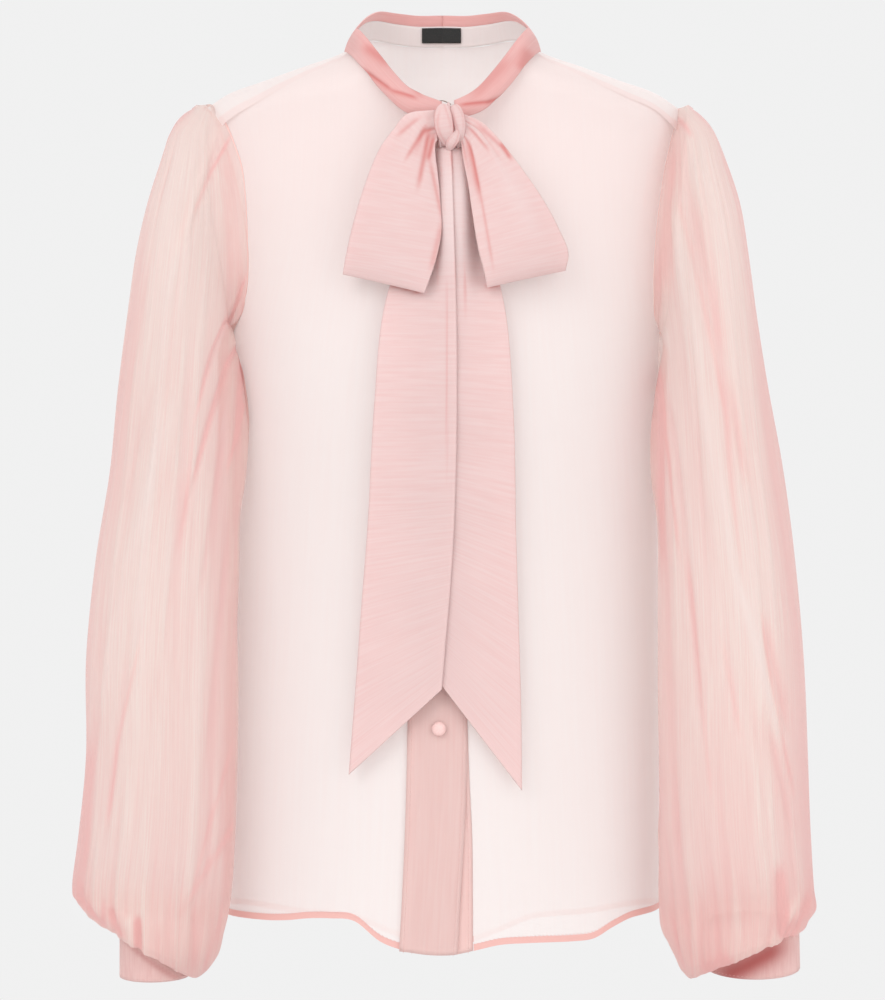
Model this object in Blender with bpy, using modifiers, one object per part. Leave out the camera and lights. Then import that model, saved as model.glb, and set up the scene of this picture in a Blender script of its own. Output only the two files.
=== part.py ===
"""Tie neck blouse: the cloth walls, buttons, label and neck hook at their real size, in metres.

The front faces -Y and +X is the wearer's left. The origin is where the wearer's shoulders hold the
blouse up: on the middle plane, level with the side of the neck. Every cloth piece is a surface that a
function works out from named sizes and short tables, given its wall with Solidify.
"""

from math import cos, pi, radians, sin

import bmesh
import bpy
import numpy as np

# Cloth walls, the gap left at a seam, and how far an edge stands off the cloth it meets
WALL = 0.0012
SEAM_GAP = 0.0003
EDGE_OFF = WALL / 2 + SEAM_GAP

# Counts of columns and rows in each piece's grid
FRONT_GRID = (5, 7, 10, 9)
BACK_GRID = (4, 7, 8, 9, 5)
SLEEVE_GRID = (54, 18)
CUFF_GRID = (32, 1)
BAND_GRID = (16, 4)
NECKBAND_GRID = (32, 1)
PLACKET_GRID = (3, 19)
TAIL_GRID = (6, 16)
LOOP_GRID = (5, 22)
LABEL_GRID = (6, 2)

# The body's form, by height: half width, half depth in front, half depth behind
BODY = (
    (-0.700, 0.1610, 0.1210, 0.1200),
    (-0.520, 0.1600, 0.1160, 0.1150),
    (-0.360, 0.1580, 0.1120, 0.1090),
    (-0.200, 0.1590, 0.1180, 0.1120),
    (-0.120, 0.1620, 0.1010, 0.1040),
    (-0.055, 0.1620, 0.0760, 0.0760),
    (0.080, 0.1620, 0.0740, 0.0740),
)

# The shoulders, by distance from the middle: height of the ridge, height over which cloth rolls to it
SHOULDER = (
    (0.000, 0.0400, 0.0450),
    (0.040, 0.0270, 0.0410),
    (0.072, 0.0060, 0.0360),
    (0.100, -0.0040, 0.0320),
    (0.130, -0.0145, 0.0290),
    (0.165, -0.0270, 0.0260),
)

# The shoulder seam lies in front of the ridge, by distance from the middle: turn up the roll in degrees
SHOULDER_SEAM = ((0.0680, 52.0), (0.1100, 32.0), (0.1532, 4.3))

# Half the neckline from the middle to the shoulder seam, by share: distance out, rise up the cloth
NECK_FRONT = (
    (0.00, 0.0000, -0.0500),
    (0.25, 0.0215, -0.0440),
    (0.42, 0.0330, -0.0360),
    (0.58, 0.0435, -0.0265),
    (0.74, 0.0530, -0.0160),
    (0.88, 0.0615, -0.0050),
    (1.00, 0.0680, 0.0052),
)
NECK_BACK = (
    (0.00, 0.0000, 0.0203),
    (0.35, 0.0255, 0.0215),
    (0.62, 0.0455, 0.0275),
    (0.85, 0.0615, 0.0410),
    (1.00, 0.0680, 0.0539),
)

# The armhole round from the shoulder ridge in degrees: place round the body in degrees, rise up the cloth
ARMHOLE_FRONT = (
    (0, 80.0, -0.0100),
    (25, 76.0, -0.0300),
    (45, 71.0, -0.0470),
    (70, 65.5, -0.0760),
    (95, 61.5, -0.1080),
    (120, 60.0, -0.1420),
    (145, 63.0, -0.1730),
    (163, 73.5, -0.1920),
    (180, 90.0, -0.1990),
)
ARMHOLE_BACK = (
    (0, 100.0, -0.0100),
    (25, 103.0, -0.0270),
    (45, 107.0, -0.0450),
    (70, 112.0, -0.0760),
    (95, 115.5, -0.1100),
    (120, 116.0, -0.1430),
    (145, 112.5, -0.1730),
    (163, 103.5, -0.1920),
    (180, 90.0, -0.1990),
)
ARMHOLE_LAP = 0.0022
SEAM_END = 45.0
ARMPIT = 180.0
ARMHOLE_STEPS = (ARMPIT, 172, 163, 151, 136, 118, 100, 81, 62, SEAM_END)
TURN_RISE = -0.205

# Half the gap of the side seam, in degrees round the body
SIDE_HALF_GAP = np.degrees(SEAM_GAP / BODY[3][2])

# Height at the side of the body's lower edge, and rounds that even out a panel's grid
HEM_HEIGHT = -0.63
EVENING_ROUNDS = 25

# The lower edges, by distance from the middle towards the wearer's left: height
HEM_FRONT = (
    (-0.161, -0.6230),
    (-0.120, -0.6210),
    (-0.075, -0.6165),
    (-0.052, -0.6215),
    (-0.041, -0.6330),
    (-0.020, -0.6385),
    (0.005, -0.6400),
    (0.039, -0.6335),
    (0.080, -0.6330),
    (0.112, -0.6310),
    (0.125, -0.6235),
    (0.161, -0.6190),
)
HEM_BACK = ((0.000, -0.6680), (0.030, -0.6610), (0.065, -0.6450), (0.110, -0.6370), (0.161, -0.6210))

# The front bands, by height: left edge of the top one, its right edge, right edge of the under one
PLACKET = (
    (-0.645, -0.0304, 0.0100, 0.0213),
    (-0.600, -0.0280, 0.0125, 0.0212),
    (-0.560, -0.0262, 0.0148, 0.0208),
    (-0.520, -0.0250, 0.0165, 0.0190),
    (-0.480, -0.0242, 0.0172, 0.0176),
    (-0.300, -0.0235, 0.0170, 0.0172),
    (-0.040, -0.0200, 0.0150, 0.0170),
)
PLACKET_OVERLAP = 0.005
PLACKET_OUT = 0.0019

# The sleeve's rings, by share down it: outer x for the wearer's right, and left, outer z, inner x,
# inner z, y of the middle, half depth
SLEEVE = (
    (0.04, 0.177, 0.178, -0.032, 0.160, -0.209, -0.0020, 0.0550),
    (0.09, 0.189, 0.188, -0.039, 0.157, -0.221, -0.0050, 0.0610),
    (0.15, 0.198, 0.198, -0.052, 0.152, -0.236, -0.0100, 0.0660),
    (0.21, 0.205, 0.207, -0.076, 0.147, -0.252, -0.0175, 0.0705),
    (0.28, 0.214, 0.216, -0.108, 0.143, -0.268, -0.0270, 0.0730),
    (0.35, 0.221, 0.221, -0.145, 0.142, -0.285, -0.0380, 0.0720),
    (0.42, 0.226, 0.226, -0.190, 0.143, -0.310, -0.0490, 0.0670),
    (0.49, 0.232, 0.233, -0.240, 0.146, -0.340, -0.058, 0.062),
    (0.56, 0.237, 0.243, -0.300, 0.146, -0.385, -0.064, 0.060),
    (0.63, 0.247, 0.251, -0.365, 0.146, -0.430, -0.068, 0.060),
    (0.70, 0.254, 0.257, -0.435, 0.146, -0.480, -0.070, 0.060),
    (0.77, 0.254, 0.260, -0.505, 0.147, -0.535, -0.072, 0.058),
    (0.83, 0.259, 0.262, -0.560, 0.149, -0.580, -0.074, 0.056),
    (0.88, 0.263, 0.264, -0.598, 0.152, -0.612, -0.076, 0.054),
)

# The bag over each cuff in the same columns, with one outer x
BAG_RIGHT = (
    (0.915, 0.2600, -0.6070, 0.1555, -0.6290, -0.077, 0.0530),
    (0.940, 0.2510, -0.6175, 0.1600, -0.6460, -0.078, 0.0520),
    (0.960, 0.2420, -0.6240, 0.1660, -0.6600, -0.078, 0.0510),
    (0.975, 0.2360, -0.6270, 0.1720, -0.6660, -0.078, 0.0480),
    (0.990, 0.2330, -0.6260, 0.1755, -0.6540, -0.077, 0.0430),
)
BAG_LEFT = (
    (0.915, 0.2650, -0.6130, 0.1560, -0.6290, -0.077, 0.0530),
    (0.940, 0.2620, -0.6220, 0.1620, -0.6450, -0.078, 0.0510),
    (0.960, 0.2625, -0.6270, 0.1690, -0.6590, -0.078, 0.0490),
    (0.975, 0.2615, -0.6295, 0.1760, -0.6660, -0.077, 0.0450),
    (0.990, 0.2592, -0.6285, 0.1815, -0.6560, -0.076, 0.0390),
)
BAG_FRONT_RISE = 0.006
BAG_FROM = 0.88
BAG_OVER = 0.08

# How far a sleeve hangs off the body's side, and the share down the sleeve it takes to get there
SLEEVE_CLEAR = 0.0050
CLEAR_OVER = 0.06

# How square the sleeve's rings are, and the shares down the sleeve of its grid's rows
RING_SQUARE = ((0.0, 1.00), (0.20, 0.95), (0.50, 1.0))
SLEEVE_STEPS = (
    *(0, 0.04, 0.09, 0.15, 0.22, 0.30, 0.39, 0.48, 0.57, 0.66),
    *(0.74, 0.81, 0.87, 0.915, 0.945, 0.963, 0.978, 0.989, 1),
)

# Gathers: how many folds of each kind go round a sleeve, and by share down it how deep each kind is
CAP_FOLDS = 18
LONG_FOLDS = 7
CUFF_FOLDS = 18
FOLD_DEPTHS = (
    (0.00, 0.0003, 0.0000, 0.0000),
    (0.08, 0.0010, 0.0003, 0.0000),
    (0.25, 0.0008, 0.0014, 0.0000),
    (0.50, 0.0001, 0.0024, 0.0003),
    (0.75, 0.0000, 0.0020, 0.0010),
    (0.90, 0.0000, 0.0010, 0.0018),
    (1.00, 0.0000, 0.0000, 0.0000),
)

# Each cuff: x of the middle, y of the middle, z of the lower edge, half width, half depth, lean forward
CUFF_RIGHT = (0.2047, -0.076, -0.6600, 0.0245, 0.0375, 0.0)
CUFF_LEFT = (0.2205, -0.076, -0.6540, 0.0335, 0.0300, 10.0)
CUFF_HEIGHT = 0.030
CUFF_LAP = 0.001
CUFF_LAP_OUT = 0.0017

# The stand of the neck, by share from the middle front to the middle back: height, lean inwards
NECKBAND = ((0.0, 0.008, 0.10), (0.3, 0.013, 0.20), (0.6, 0.0145, 0.20), (1.0, 0.0160, 0.05))
NECKBAND_HALF_OPEN = 0.004

# The tie round the neck, by share from the knot to the middle back: how far its lower edge lies out
# from the neckline and over it, the same for its upper edge, and how far the cloth bulges between them
BAND_RIGHT = (
    (0.00, 0.0190, 0.0000, 0.0185, 0.0090, 0.0020),
    (0.10, 0.0150, -0.0005, 0.0100, 0.0135, 0.0035),
    (0.24, 0.0085, -0.0005, 0.0010, 0.0185, 0.0040),
    (0.40, 0.0040, 0.0005, -0.0020, 0.0190, 0.0020),
    (0.52, 0.0030, 0.0010, -0.0022, 0.0185, 0.0012),
    (0.70, 0.0028, 0.0015, -0.0005, 0.0200, 0.0010),
    (1.00, 0.0030, 0.0015, 0.0020, 0.0228, 0.0010),
)
BAND_LEFT = (
    (0.00, 0.0190, -0.0010, 0.0185, 0.0085, 0.0020),
    (0.10, 0.0155, -0.0005, 0.0090, 0.0140, 0.0045),
    (0.24, 0.0090, -0.0005, 0.0005, 0.0190, 0.0045),
    (0.40, 0.0042, 0.0005, -0.0020, 0.0192, 0.0024),
    (0.52, 0.0030, 0.0010, -0.0022, 0.0187, 0.0014),
    (0.70, 0.0028, 0.0015, -0.0005, 0.0200, 0.0010),
    (1.00, 0.0030, 0.0015, 0.0020, 0.0228, 0.0010),
)
# How far from the middle each half starts, and the share where both end, just short of the middle back
BAND_ENDS = (0.0003, 0.0064)
BAND_LAST = 0.9965

# The bow's loops, by share from the knot to the fold: left edge x, z, right edge x, z, how far the
# upper cloth stands off the under one, how far the under one stands off the body
LOOP_RIGHT = (
    (0.00, -0.0041, -0.0540, -0.0036, -0.0690, 0.0040, 0.0275),
    (0.10, -0.0250, -0.0530, -0.0085, -0.0700, 0.0070, 0.0240),
    (0.22, -0.0350, -0.0620, -0.0100, -0.0780, 0.0100, 0.0200),
    (0.38, -0.0450, -0.0770, -0.0080, -0.0910, 0.0130, 0.0175),
    (0.56, -0.0545, -0.1020, -0.0035, -0.1130, 0.0140, 0.0165),
    (0.75, -0.0620, -0.1280, -0.0010, -0.1380, 0.0130, 0.0165),
    (0.90, -0.0670, -0.1500, -0.0060, -0.1600, 0.0100, 0.0165),
    (1.00, -0.0695, -0.1640, -0.0125, -0.1780, 0.0060, 0.0165),
)
LOOP_LEFT = (
    (0.00, 0.0128, -0.0690, 0.0131, -0.0550, 0.0040, 0.0275),
    (0.10, 0.0165, -0.0740, 0.0270, -0.0580, 0.0070, 0.0240),
    (0.22, 0.0175, -0.0850, 0.0390, -0.0680, 0.0110, 0.0200),
    (0.38, 0.0180, -0.1020, 0.0530, -0.0860, 0.0140, 0.0175),
    (0.56, 0.0210, -0.1240, 0.0685, -0.1090, 0.0160, 0.0165),
    (0.75, 0.0250, -0.1480, 0.0810, -0.1320, 0.0150, 0.0165),
    (0.90, 0.0290, -0.1640, 0.0880, -0.1500, 0.0110, 0.0165),
    (1.00, 0.0310, -0.1740, 0.0860, -0.1610, 0.0060, 0.0165),
)
LOOP_FOLD = 0.94
LOOP_EDGE = 0.75

# The tie's tails, by share from the knot to the cut end: left edge x, z, right edge x, z
TAIL_RIGHT = (
    (0.00, -0.0040, -0.0746, 0.0060, -0.0746),
    (0.12, -0.0240, -0.1350, 0.0080, -0.1350),
    (0.22, -0.0400, -0.1850, 0.0095, -0.1850),
    (0.36, -0.0475, -0.2550, 0.0100, -0.2550),
    (0.52, -0.0520, -0.3350, 0.0085, -0.3300),
    (0.68, -0.0570, -0.4000, 0.0055, -0.3820),
    (0.84, -0.0610, -0.4560, 0.0020, -0.4230),
    (1.00, -0.0655, -0.5140, -0.0005, -0.4540),
)
TAIL_LEFT = (
    (0.00, 0.0065, -0.0745, 0.0160, -0.0745),
    (0.12, 0.0000, -0.1350, 0.0300, -0.1350),
    (0.22, -0.0060, -0.1850, 0.0430, -0.1850),
    (0.36, -0.0090, -0.2550, 0.0495, -0.2600),
    (0.52, -0.0100, -0.3250, 0.0515, -0.3450),
    (0.68, -0.0090, -0.3760, 0.0535, -0.4130),
    (0.84, -0.0080, -0.4140, 0.0550, -0.4700),
    (1.00, -0.0070, -0.4430, 0.0555, -0.5250),
)
TAIL_LIFT = (0.0123, 0.0100)

# The knot: middle, half sizes, and how deep its wrap is pinched
KNOT_MIDDLE = (0.0045, -0.1015, -0.0600)
KNOT_HALF = (0.0100, 0.0105, 0.0165)
KNOT_PINCH = 0.22

# Covered buttons: radius, height and roundness, their places down the front and on each cuff
BUTTON_RADIUS = 0.0050
BUTTON_HEIGHT = 0.0056
BUTTON_ROUND = 1.24
BUTTON_X = -0.0025
BUTTON_HEIGHTS = (-0.138, -0.224, -0.310, -0.396, -0.482)
BUTTON_GRID = (10, 5)
CUFF_BUTTON_ANGLE = 325.0
CUFF_BUTTON_UP = 0.0105
CUFF_BUTTON_SEAT = 0.0018

# The bare label inside the neck: width, shares up the stand, wall, distance off the stand, middle
LABEL_WIDTH = 0.0292
LABEL_SHARES = (0.20, 0.92)
LABEL_WALL = 0.0008
LABEL_OFF = 0.0016
LABEL_MIDDLE = -0.0008

# The wire hook at the front of the neckband
HOOK_WIRE = 0.0007
HOOK_ROUTE = (
    (-0.0060, -0.0749, -0.0402),
    (-0.0035, -0.0749, -0.0382),
    (0.0000, -0.0749, -0.0376),
    (0.0035, -0.0749, -0.0388),
    (0.0060, -0.0749, -0.0402),
)

# Colours, as linear values, and roughness
BODY_PINK = ((0.94, 0.80, 0.78), 0.75)
SLEEVE_PINK = ((0.90, 0.70, 0.65), 0.70)
TIE_PINK = ((0.90, 0.62, 0.60), 0.65)
CUFF_PINK = ((0.80, 0.46, 0.43), 0.65)
LABEL_BLACK = ((0.02, 0.02, 0.02), 0.6)
WIRE_BRONZE = ((0.30, 0.24, 0.20), 0.35)


def spline(rows, at):
    """Smooth values of a table's columns at keys in its first column, held level past its ends."""
    table = np.asarray(rows, float)
    keys, values = table[:, 0], table[:, 1:]
    at = np.clip(np.asarray(at, float), keys[0], keys[-1])
    slopes = np.gradient(values, keys, axis=0)
    i = np.clip(np.searchsorted(keys, at, side="right") - 1, 0, len(keys) - 2)
    step = (keys[i + 1] - keys[i])[..., None]
    t = (at - keys[i])[..., None] / step
    before = (1 + 2 * t) * (1 - t) ** 2 * values[i] + t * (1 - t) ** 2 * step * slopes[i]
    after = t * t * (3 - 2 * t) * values[i + 1] - t * t * (1 - t) * step * slopes[i + 1]
    return before + after


def columns(rows, at):
    """A table's columns at the given keys, one array for each column."""
    return np.moveaxis(spline(rows, at), -1, 0)


def unit(vectors):
    return vectors / np.maximum(np.linalg.norm(vectors, axis=-1, keepdims=True), 1e-12)


def roll_of(x):
    """Where the cloth starts to roll over the shoulder at a distance from the middle, and the roll."""
    ridge, roll = columns(SHOULDER, np.abs(x))
    return ridge - roll, roll


def place(angle, rise):
    """A point of the body's form: degrees round from the middle front, and rise up the cloth."""
    round_it = np.radians(angle)
    half_width, front, back = columns(BODY, rise)
    x = half_width * np.sin(round_it)
    start, roll = roll_of(x)
    turn = np.clip((rise - start) / roll, 0, pi)
    level = np.minimum(rise, start)
    _, front, back = columns(BODY, level)
    depth = np.where(np.cos(round_it) > 0, front, back)
    y = -depth * np.cos(round_it) * np.cos(turn)
    z = level + roll * np.sin(turn)
    return np.stack([x, y, z], axis=-1)


def body(angle, rise, out=0.0):
    """A point of the body's form, moved out of the cloth by a distance."""
    angle, rise = np.broadcast_arrays(np.asarray(angle, float), np.asarray(rise, float))
    point = place(angle, rise)
    small = 0.05
    around = place(angle + small, rise) - place(angle - small, rise)
    upward = place(angle, rise + small / 100) - place(angle, rise - small / 100)
    return point + np.asarray(out)[..., None] * unit(np.cross(around, upward))


def angle_at(x, height):
    """Degrees round the body's form to a distance from the middle, in front."""
    half_width = columns(BODY, height)[0]
    return np.degrees(np.arcsin(np.clip(x / half_width, -1, 1)))


def across_ridge(angle, rise):
    """The same point counted from the panel on the other side of the shoulder ridge."""
    x = columns(BODY, rise)[0] * np.sin(np.radians(angle))
    start, roll = roll_of(x)
    return 180 - angle, 2 * (start + roll * pi / 2) - rise


def on_front(x, z, lift):
    """A point in front of the body's form, lifted straight forward off it."""
    half_width, depth, _ = columns(BODY, z)
    y = -depth * np.sqrt(np.maximum(1 - (x / half_width) ** 2, 0.01)) - lift
    return np.stack([x, y, z], axis=-1)


def collection_for(name):
    group = bpy.data.collections.new(name)
    bpy.context.scene.collection.children.link(group)
    return group


def finish(name, colour, metallic=0.0):
    """A Principled material from a linear colour and a roughness."""
    material = bpy.data.materials.new(name)
    material.use_nodes = True
    shader = material.node_tree.nodes["Principled BSDF"]
    shader.inputs["Base Color"].default_value = (*colour[0], 1.0)
    shader.inputs["Roughness"].default_value = colour[1]
    shader.inputs["Metallic"].default_value = metallic
    return material


def named_object(name, mesh, material):
    thing = bpy.data.objects.new(name, mesh)
    thing.data.materials.append(material)
    GROUP.objects.link(thing)
    return thing


def grid_object(name, shape, columns_and_rows, material, closed=False):
    """A grid whose corner at shares u across and v along is put at shape(u, v)."""
    count_u, count_v = columns_and_rows
    mesh = bpy.data.meshes.new(name)
    grid = bmesh.new()
    bmesh.ops.create_grid(grid, x_segments=count_u, y_segments=count_v, size=0.5)
    u = np.array([corner.co.x + 0.5 for corner in grid.verts])
    v = np.array([corner.co.y + 0.5 for corner in grid.verts])
    for corner, point in zip(grid.verts, shape(u, v)):
        corner.co = point
    if closed:
        bmesh.ops.remove_doubles(grid, verts=grid.verts, dist=0.00001)
    grid.to_mesh(mesh)
    grid.free()
    return named_object(name, mesh, material)


def cloth(name, shape, columns_and_rows, material, closed=False, wall=WALL):
    """A cloth piece: the grid of its surface with a wall on it."""
    piece = grid_object(name, shape, columns_and_rows, material, closed)
    solid = piece.modifiers.new("wall", "SOLIDIFY")
    solid.thickness = wall
    solid.offset = 0
    solid.use_even_offset = False
    return piece


def stepped(share, counts):
    """Turns a share of a grid into (which stretch, share of it), for stretches of so many cells."""
    cell = share * sum(counts)
    ends = np.cumsum((0, *counts))
    which = np.clip(np.searchsorted(ends, cell + 1e-6, side="right") - 1, 0, len(counts) - 1)
    return which, (cell - ends[which]) / np.asarray(counts)[which]


def patch(edges, count_u, count_v):
    """Blends four edges into a surface of (angle, rise), evened out inside, as a function of shares."""
    bottom, top, inner, outer = edges
    u = np.linspace(0, 1, count_u + 1)
    v = np.linspace(0, 1, count_v + 1)
    low, high, start, end = bottom(u), top(u), inner(v), outer(v)
    across, along = u[None, :, None], v[:, None, None]
    flat = (1 - along) * low + along * high + (1 - across) * start[:, None] + across * end[:, None]
    flat = flat - (1 - along) * ((1 - across) * low[0] + across * low[-1])
    flat = flat - along * ((1 - across) * high[0] + across * high[-1])
    for _ in range(EVENING_ROUNDS):
        near = flat[1:-1, :-2] + flat[1:-1, 2:] + flat[:-2, 1:-1] + flat[2:, 1:-1]
        flat[1:-1, 1:-1] = near / 4

    def read(at_u, at_v):
        return flat[np.rint(at_v * count_v).astype(int), np.rint(at_u * count_u).astype(int)].T

    return read


def seam_rise(x):
    """Rise up the front's cloth to the shoulder seam at a distance from the middle."""
    start, roll = roll_of(x)
    return start + roll * np.radians(columns(SHOULDER_SEAM, x)[0])


def armhole_step(share):
    """Degrees round the armhole at a share of the way from the armpit to the shoulder seam."""
    return np.interp(share, np.linspace(0, 1, len(ARMHOLE_STEPS)), ARMHOLE_STEPS)


def front_row_height(which, share, low, high):
    """Height of a front's rows at its centre edge, level with the armpit where the armhole starts."""
    level = np.interp(share, (0, 0.4, 1), (0, 0.25, 1))
    return np.where(which == 0, low + (TURN_RISE - low) * share, TURN_RISE + (high - TURN_RISE) * level)


def front_edges(side, inner_x):
    """The four edges of a front: side is -1 for the wearer's right and 1 for the left."""
    neck_count, seam_count, side_count, armhole_count = FRONT_GRID
    seam_x = (SHOULDER_SEAM[0][0], SHOULDER_SEAM[-1][0])

    def bottom(u):
        first = angle_at(inner_x(np.full_like(u, HEM_HEIGHT)), HEM_HEIGHT) * side
        angle = first + (90 - first) * u
        x = side * columns(BODY, HEM_HEIGHT)[0] * np.sin(np.radians(angle))
        return np.stack([angle, columns(HEM_FRONT, x)[0]], axis=-1)

    def top(u):
        which, share = stepped(u, (neck_count, seam_count))
        first = inner_x(np.array([NECK_FRONT[0][2]]))[0] * side / NECK_FRONT[1][1] * NECK_FRONT[1][0]
        x, rise = columns(NECK_FRONT, first + (1 - first) * share)
        along = seam_x[0] + (seam_x[1] - seam_x[0]) * share
        x = np.where(which == 0, x, along)
        rise = np.where(which == 0, rise, seam_rise(along))
        return np.stack([angle_at(x, rise), rise], axis=-1)

    def inner(v):
        which, share = stepped(v, (side_count, armhole_count))
        low, high = bottom(np.zeros(1))[0, 1], top(np.zeros(1))[0, 1]
        rise = front_row_height(which, share, low, high)
        return np.stack([angle_at(inner_x(rise) * side, rise), rise], axis=-1)

    def outer(v):
        which, share = stepped(v, (side_count, armhole_count))
        low = bottom(np.ones(1))[0, 1]
        angle, rise = columns(ARMHOLE_FRONT, armhole_step(share))
        angle = np.where(which == 0, 90, angle)
        rise = np.where(which == 0, low + (ARMHOLE_FRONT[-1][2] - low) * share, rise)
        return np.stack([angle, rise], axis=-1)

    return bottom, top, inner, outer


def front(name, side, inner_x, material):
    """One front, from its centre edge to the side seam, the armhole, the shoulder seam and the neck."""
    neck_count, seam_count, side_count, armhole_count = FRONT_GRID
    form = patch(front_edges(side, inner_x), neck_count + seam_count, side_count + armhole_count)

    def shape(u, v):
        angle, rise = form(u, v)
        return body(side * np.minimum(angle, 90 - SIDE_HALF_GAP), rise)

    return cloth(name, shape, (neck_count + seam_count, side_count + armhole_count), material)


def back_edges():
    """The four edges of half the back, from the middle to the side, over the shoulder to its seam."""
    neck_count, seam_count, side_count, armhole_count, over_count = BACK_GRID
    seam_x = (SHOULDER_SEAM[0][0], SHOULDER_SEAM[-1][0])

    def bottom(u):
        angle = 180 - 90 * u
        x = columns(BODY, HEM_HEIGHT)[0] * np.sin(np.radians(angle))
        return np.stack([angle, columns(HEM_BACK, x)[0]], axis=-1)

    def top(u):
        which, share = stepped(u, (neck_count, seam_count))
        x, rise = columns(NECK_BACK, share)
        neck = np.stack([180 - angle_at(x, rise), rise], axis=-1)
        along = seam_x[0] + (seam_x[1] - seam_x[0]) * share
        turned = across_ridge(angle_at(along, seam_rise(along)), seam_rise(along))
        turned = (turned[0], turned[1] - EDGE_OFF)
        return np.where(which[:, None] == 0, neck, np.stack(turned, axis=-1))

    def rows(v):
        return stepped(v, (side_count, armhole_count, over_count))

    def inner(v):
        which, share = rows(v)
        stops = np.array([bottom(np.zeros(1))[0, 1], TURN_RISE, -0.030, NECK_BACK[0][2]])
        rise = stops[which] + (stops[which + 1] - stops[which]) * share
        return np.stack([np.full_like(rise, 180.0), rise], axis=-1)

    def outer(v):
        which, share = rows(v)
        low = bottom(np.ones(1))[0, 1]
        side_rise = low + (ARMHOLE_BACK[-1][2] - low) * share
        up = columns(ARMHOLE_BACK, np.interp(share, (0, 0.4, 1), (ARMPIT, 145, 0)))
        over = across_ridge(*columns(ARMHOLE_FRONT, SEAM_END * share))
        over = (over[0], over[1] - EDGE_OFF * share)
        angle = np.select([which == 0, which == 1], [np.full_like(v, 90.0), up[0]], over[0])
        rise = np.select([which == 0, which == 1], [side_rise, up[1]], over[1])
        return np.stack([angle, rise], axis=-1)

    return bottom, top, inner, outer


def back(material):
    """The back, mirrored from half of it, and brought over the shoulders."""
    neck_count, seam_count, side_count, armhole_count, over_count = BACK_GRID
    grid = (neck_count + seam_count, side_count + armhole_count + over_count)
    form = patch(back_edges(), *grid)

    def shape(u, v):
        angle, rise = form(u, v)
        return body(np.maximum(angle, 90 + SIDE_HALF_GAP), rise)

    piece = grid_object("back", shape, grid, material)
    mirror = piece.modifiers.new("both sides", "MIRROR")
    mirror.use_clip = True
    mirror.merge_threshold = 0.0001
    solid = piece.modifiers.new("wall", "SOLIDIFY")
    solid.thickness = WALL
    solid.offset = 0
    return piece


def placket_top_left(height):
    return columns(PLACKET, height)[0]


def placket_top_right(height):
    return columns(PLACKET, height)[1]


def placket_under_right(height):
    return columns(PLACKET, height)[2]


def placket(name, left, right, out, material):
    """A front band from the hem to the neck between two edges, each a function of height."""

    def shape(u, v):
        x_low = left(HEM_HEIGHT) + (right(HEM_HEIGHT) - left(HEM_HEIGHT)) * u
        low = columns(HEM_FRONT, x_low)[0]
        height = front_row_height(*stepped(v, FRONT_GRID[2:]), low, NECK_FRONT[0][2])
        x = left(height) + (right(height) - left(height)) * u
        dip = columns(NECK_FRONT, np.abs(x) / NECK_FRONT[1][1] * NECK_FRONT[1][0])[1]
        height = height + (dip - NECK_FRONT[0][2]) * v
        return body(angle_at(x, height), height, out)

    return cloth(name, shape, PLACKET_GRID, material)


def armhole(turn):
    """Points just outside the armhole, by degrees round it from the shoulder ridge, in front first."""
    turn = (turn + 180) % 360 - 180
    angle_front, rise_front = columns(ARMHOLE_FRONT, np.abs(turn))
    angle_back, rise_back = columns(ARMHOLE_BACK, np.abs(turn))
    angle = np.where(turn >= 0, angle_front, angle_back)
    rise = np.where(turn >= 0, rise_front, rise_back)
    return body(angle, rise, np.full_like(rise, ARMHOLE_LAP))


def ring(turn, share, sizes):
    """A slanted ring of the sleeve, by degrees round it and its table columns."""
    outer_x, outer_z, inner_x, inner_z, middle_y, depth = sizes
    along = np.cos(np.radians(turn))
    x = (outer_x + inner_x) / 2 + along * (outer_x - inner_x) / 2
    z = (outer_z + inner_z) / 2 + along * (outer_z - inner_z) / 2
    front = np.sin(np.radians(turn))
    y = middle_y - depth * np.sign(front) * np.abs(front) ** columns(RING_SQUARE, share)[0]
    return np.stack([x, y, z], axis=-1)


def clear_of_body(point, gap):
    """Moves points out from the body's form until they are a gap clear of it."""
    half_width, front_depth, back_depth = columns(BODY, point[..., 2])
    depth = np.where(point[..., 1] < 0, front_depth, back_depth)
    out = np.hypot(point[..., 0] / half_width, point[..., 1] / depth)
    short = np.maximum((1 + gap / depth) / out - 1, 0)
    return point * np.stack([1 + short, 1 + short, np.ones_like(short)], axis=-1)


def cuff_point(cuff, turn, height, out=0.0):
    """A point of a cuff, by degrees round it from the outer side and height over its lower edge."""
    x, y, z, half_width, half_depth, lean = cuff
    side_x = (half_width + out) * np.cos(np.radians(turn))
    side_y = -(half_depth + out) * np.sin(np.radians(turn))
    tilt = radians(lean)
    return np.stack(
        [
            x + side_x,
            y + side_y * cos(tilt) + height * sin(tilt),
            z + side_y * sin(tilt) + height * cos(tilt),
        ],
        axis=-1,
    )


def sleeve_folds(turn, share):
    """How far the sleeve's gathers and folds push the cloth out, by degrees round it and share down."""
    cap, long, gather = columns(FOLD_DEPTHS, share)
    round_it = np.radians(turn)
    push = cap * np.cos(CAP_FOLDS * round_it) + gather * np.cos(CUFF_FOLDS * round_it + 4 * share)
    return push + long * np.cos(LONG_FOLDS * round_it + 3 * share) * (1 + 0.4 * np.sin(3 * round_it))


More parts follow.
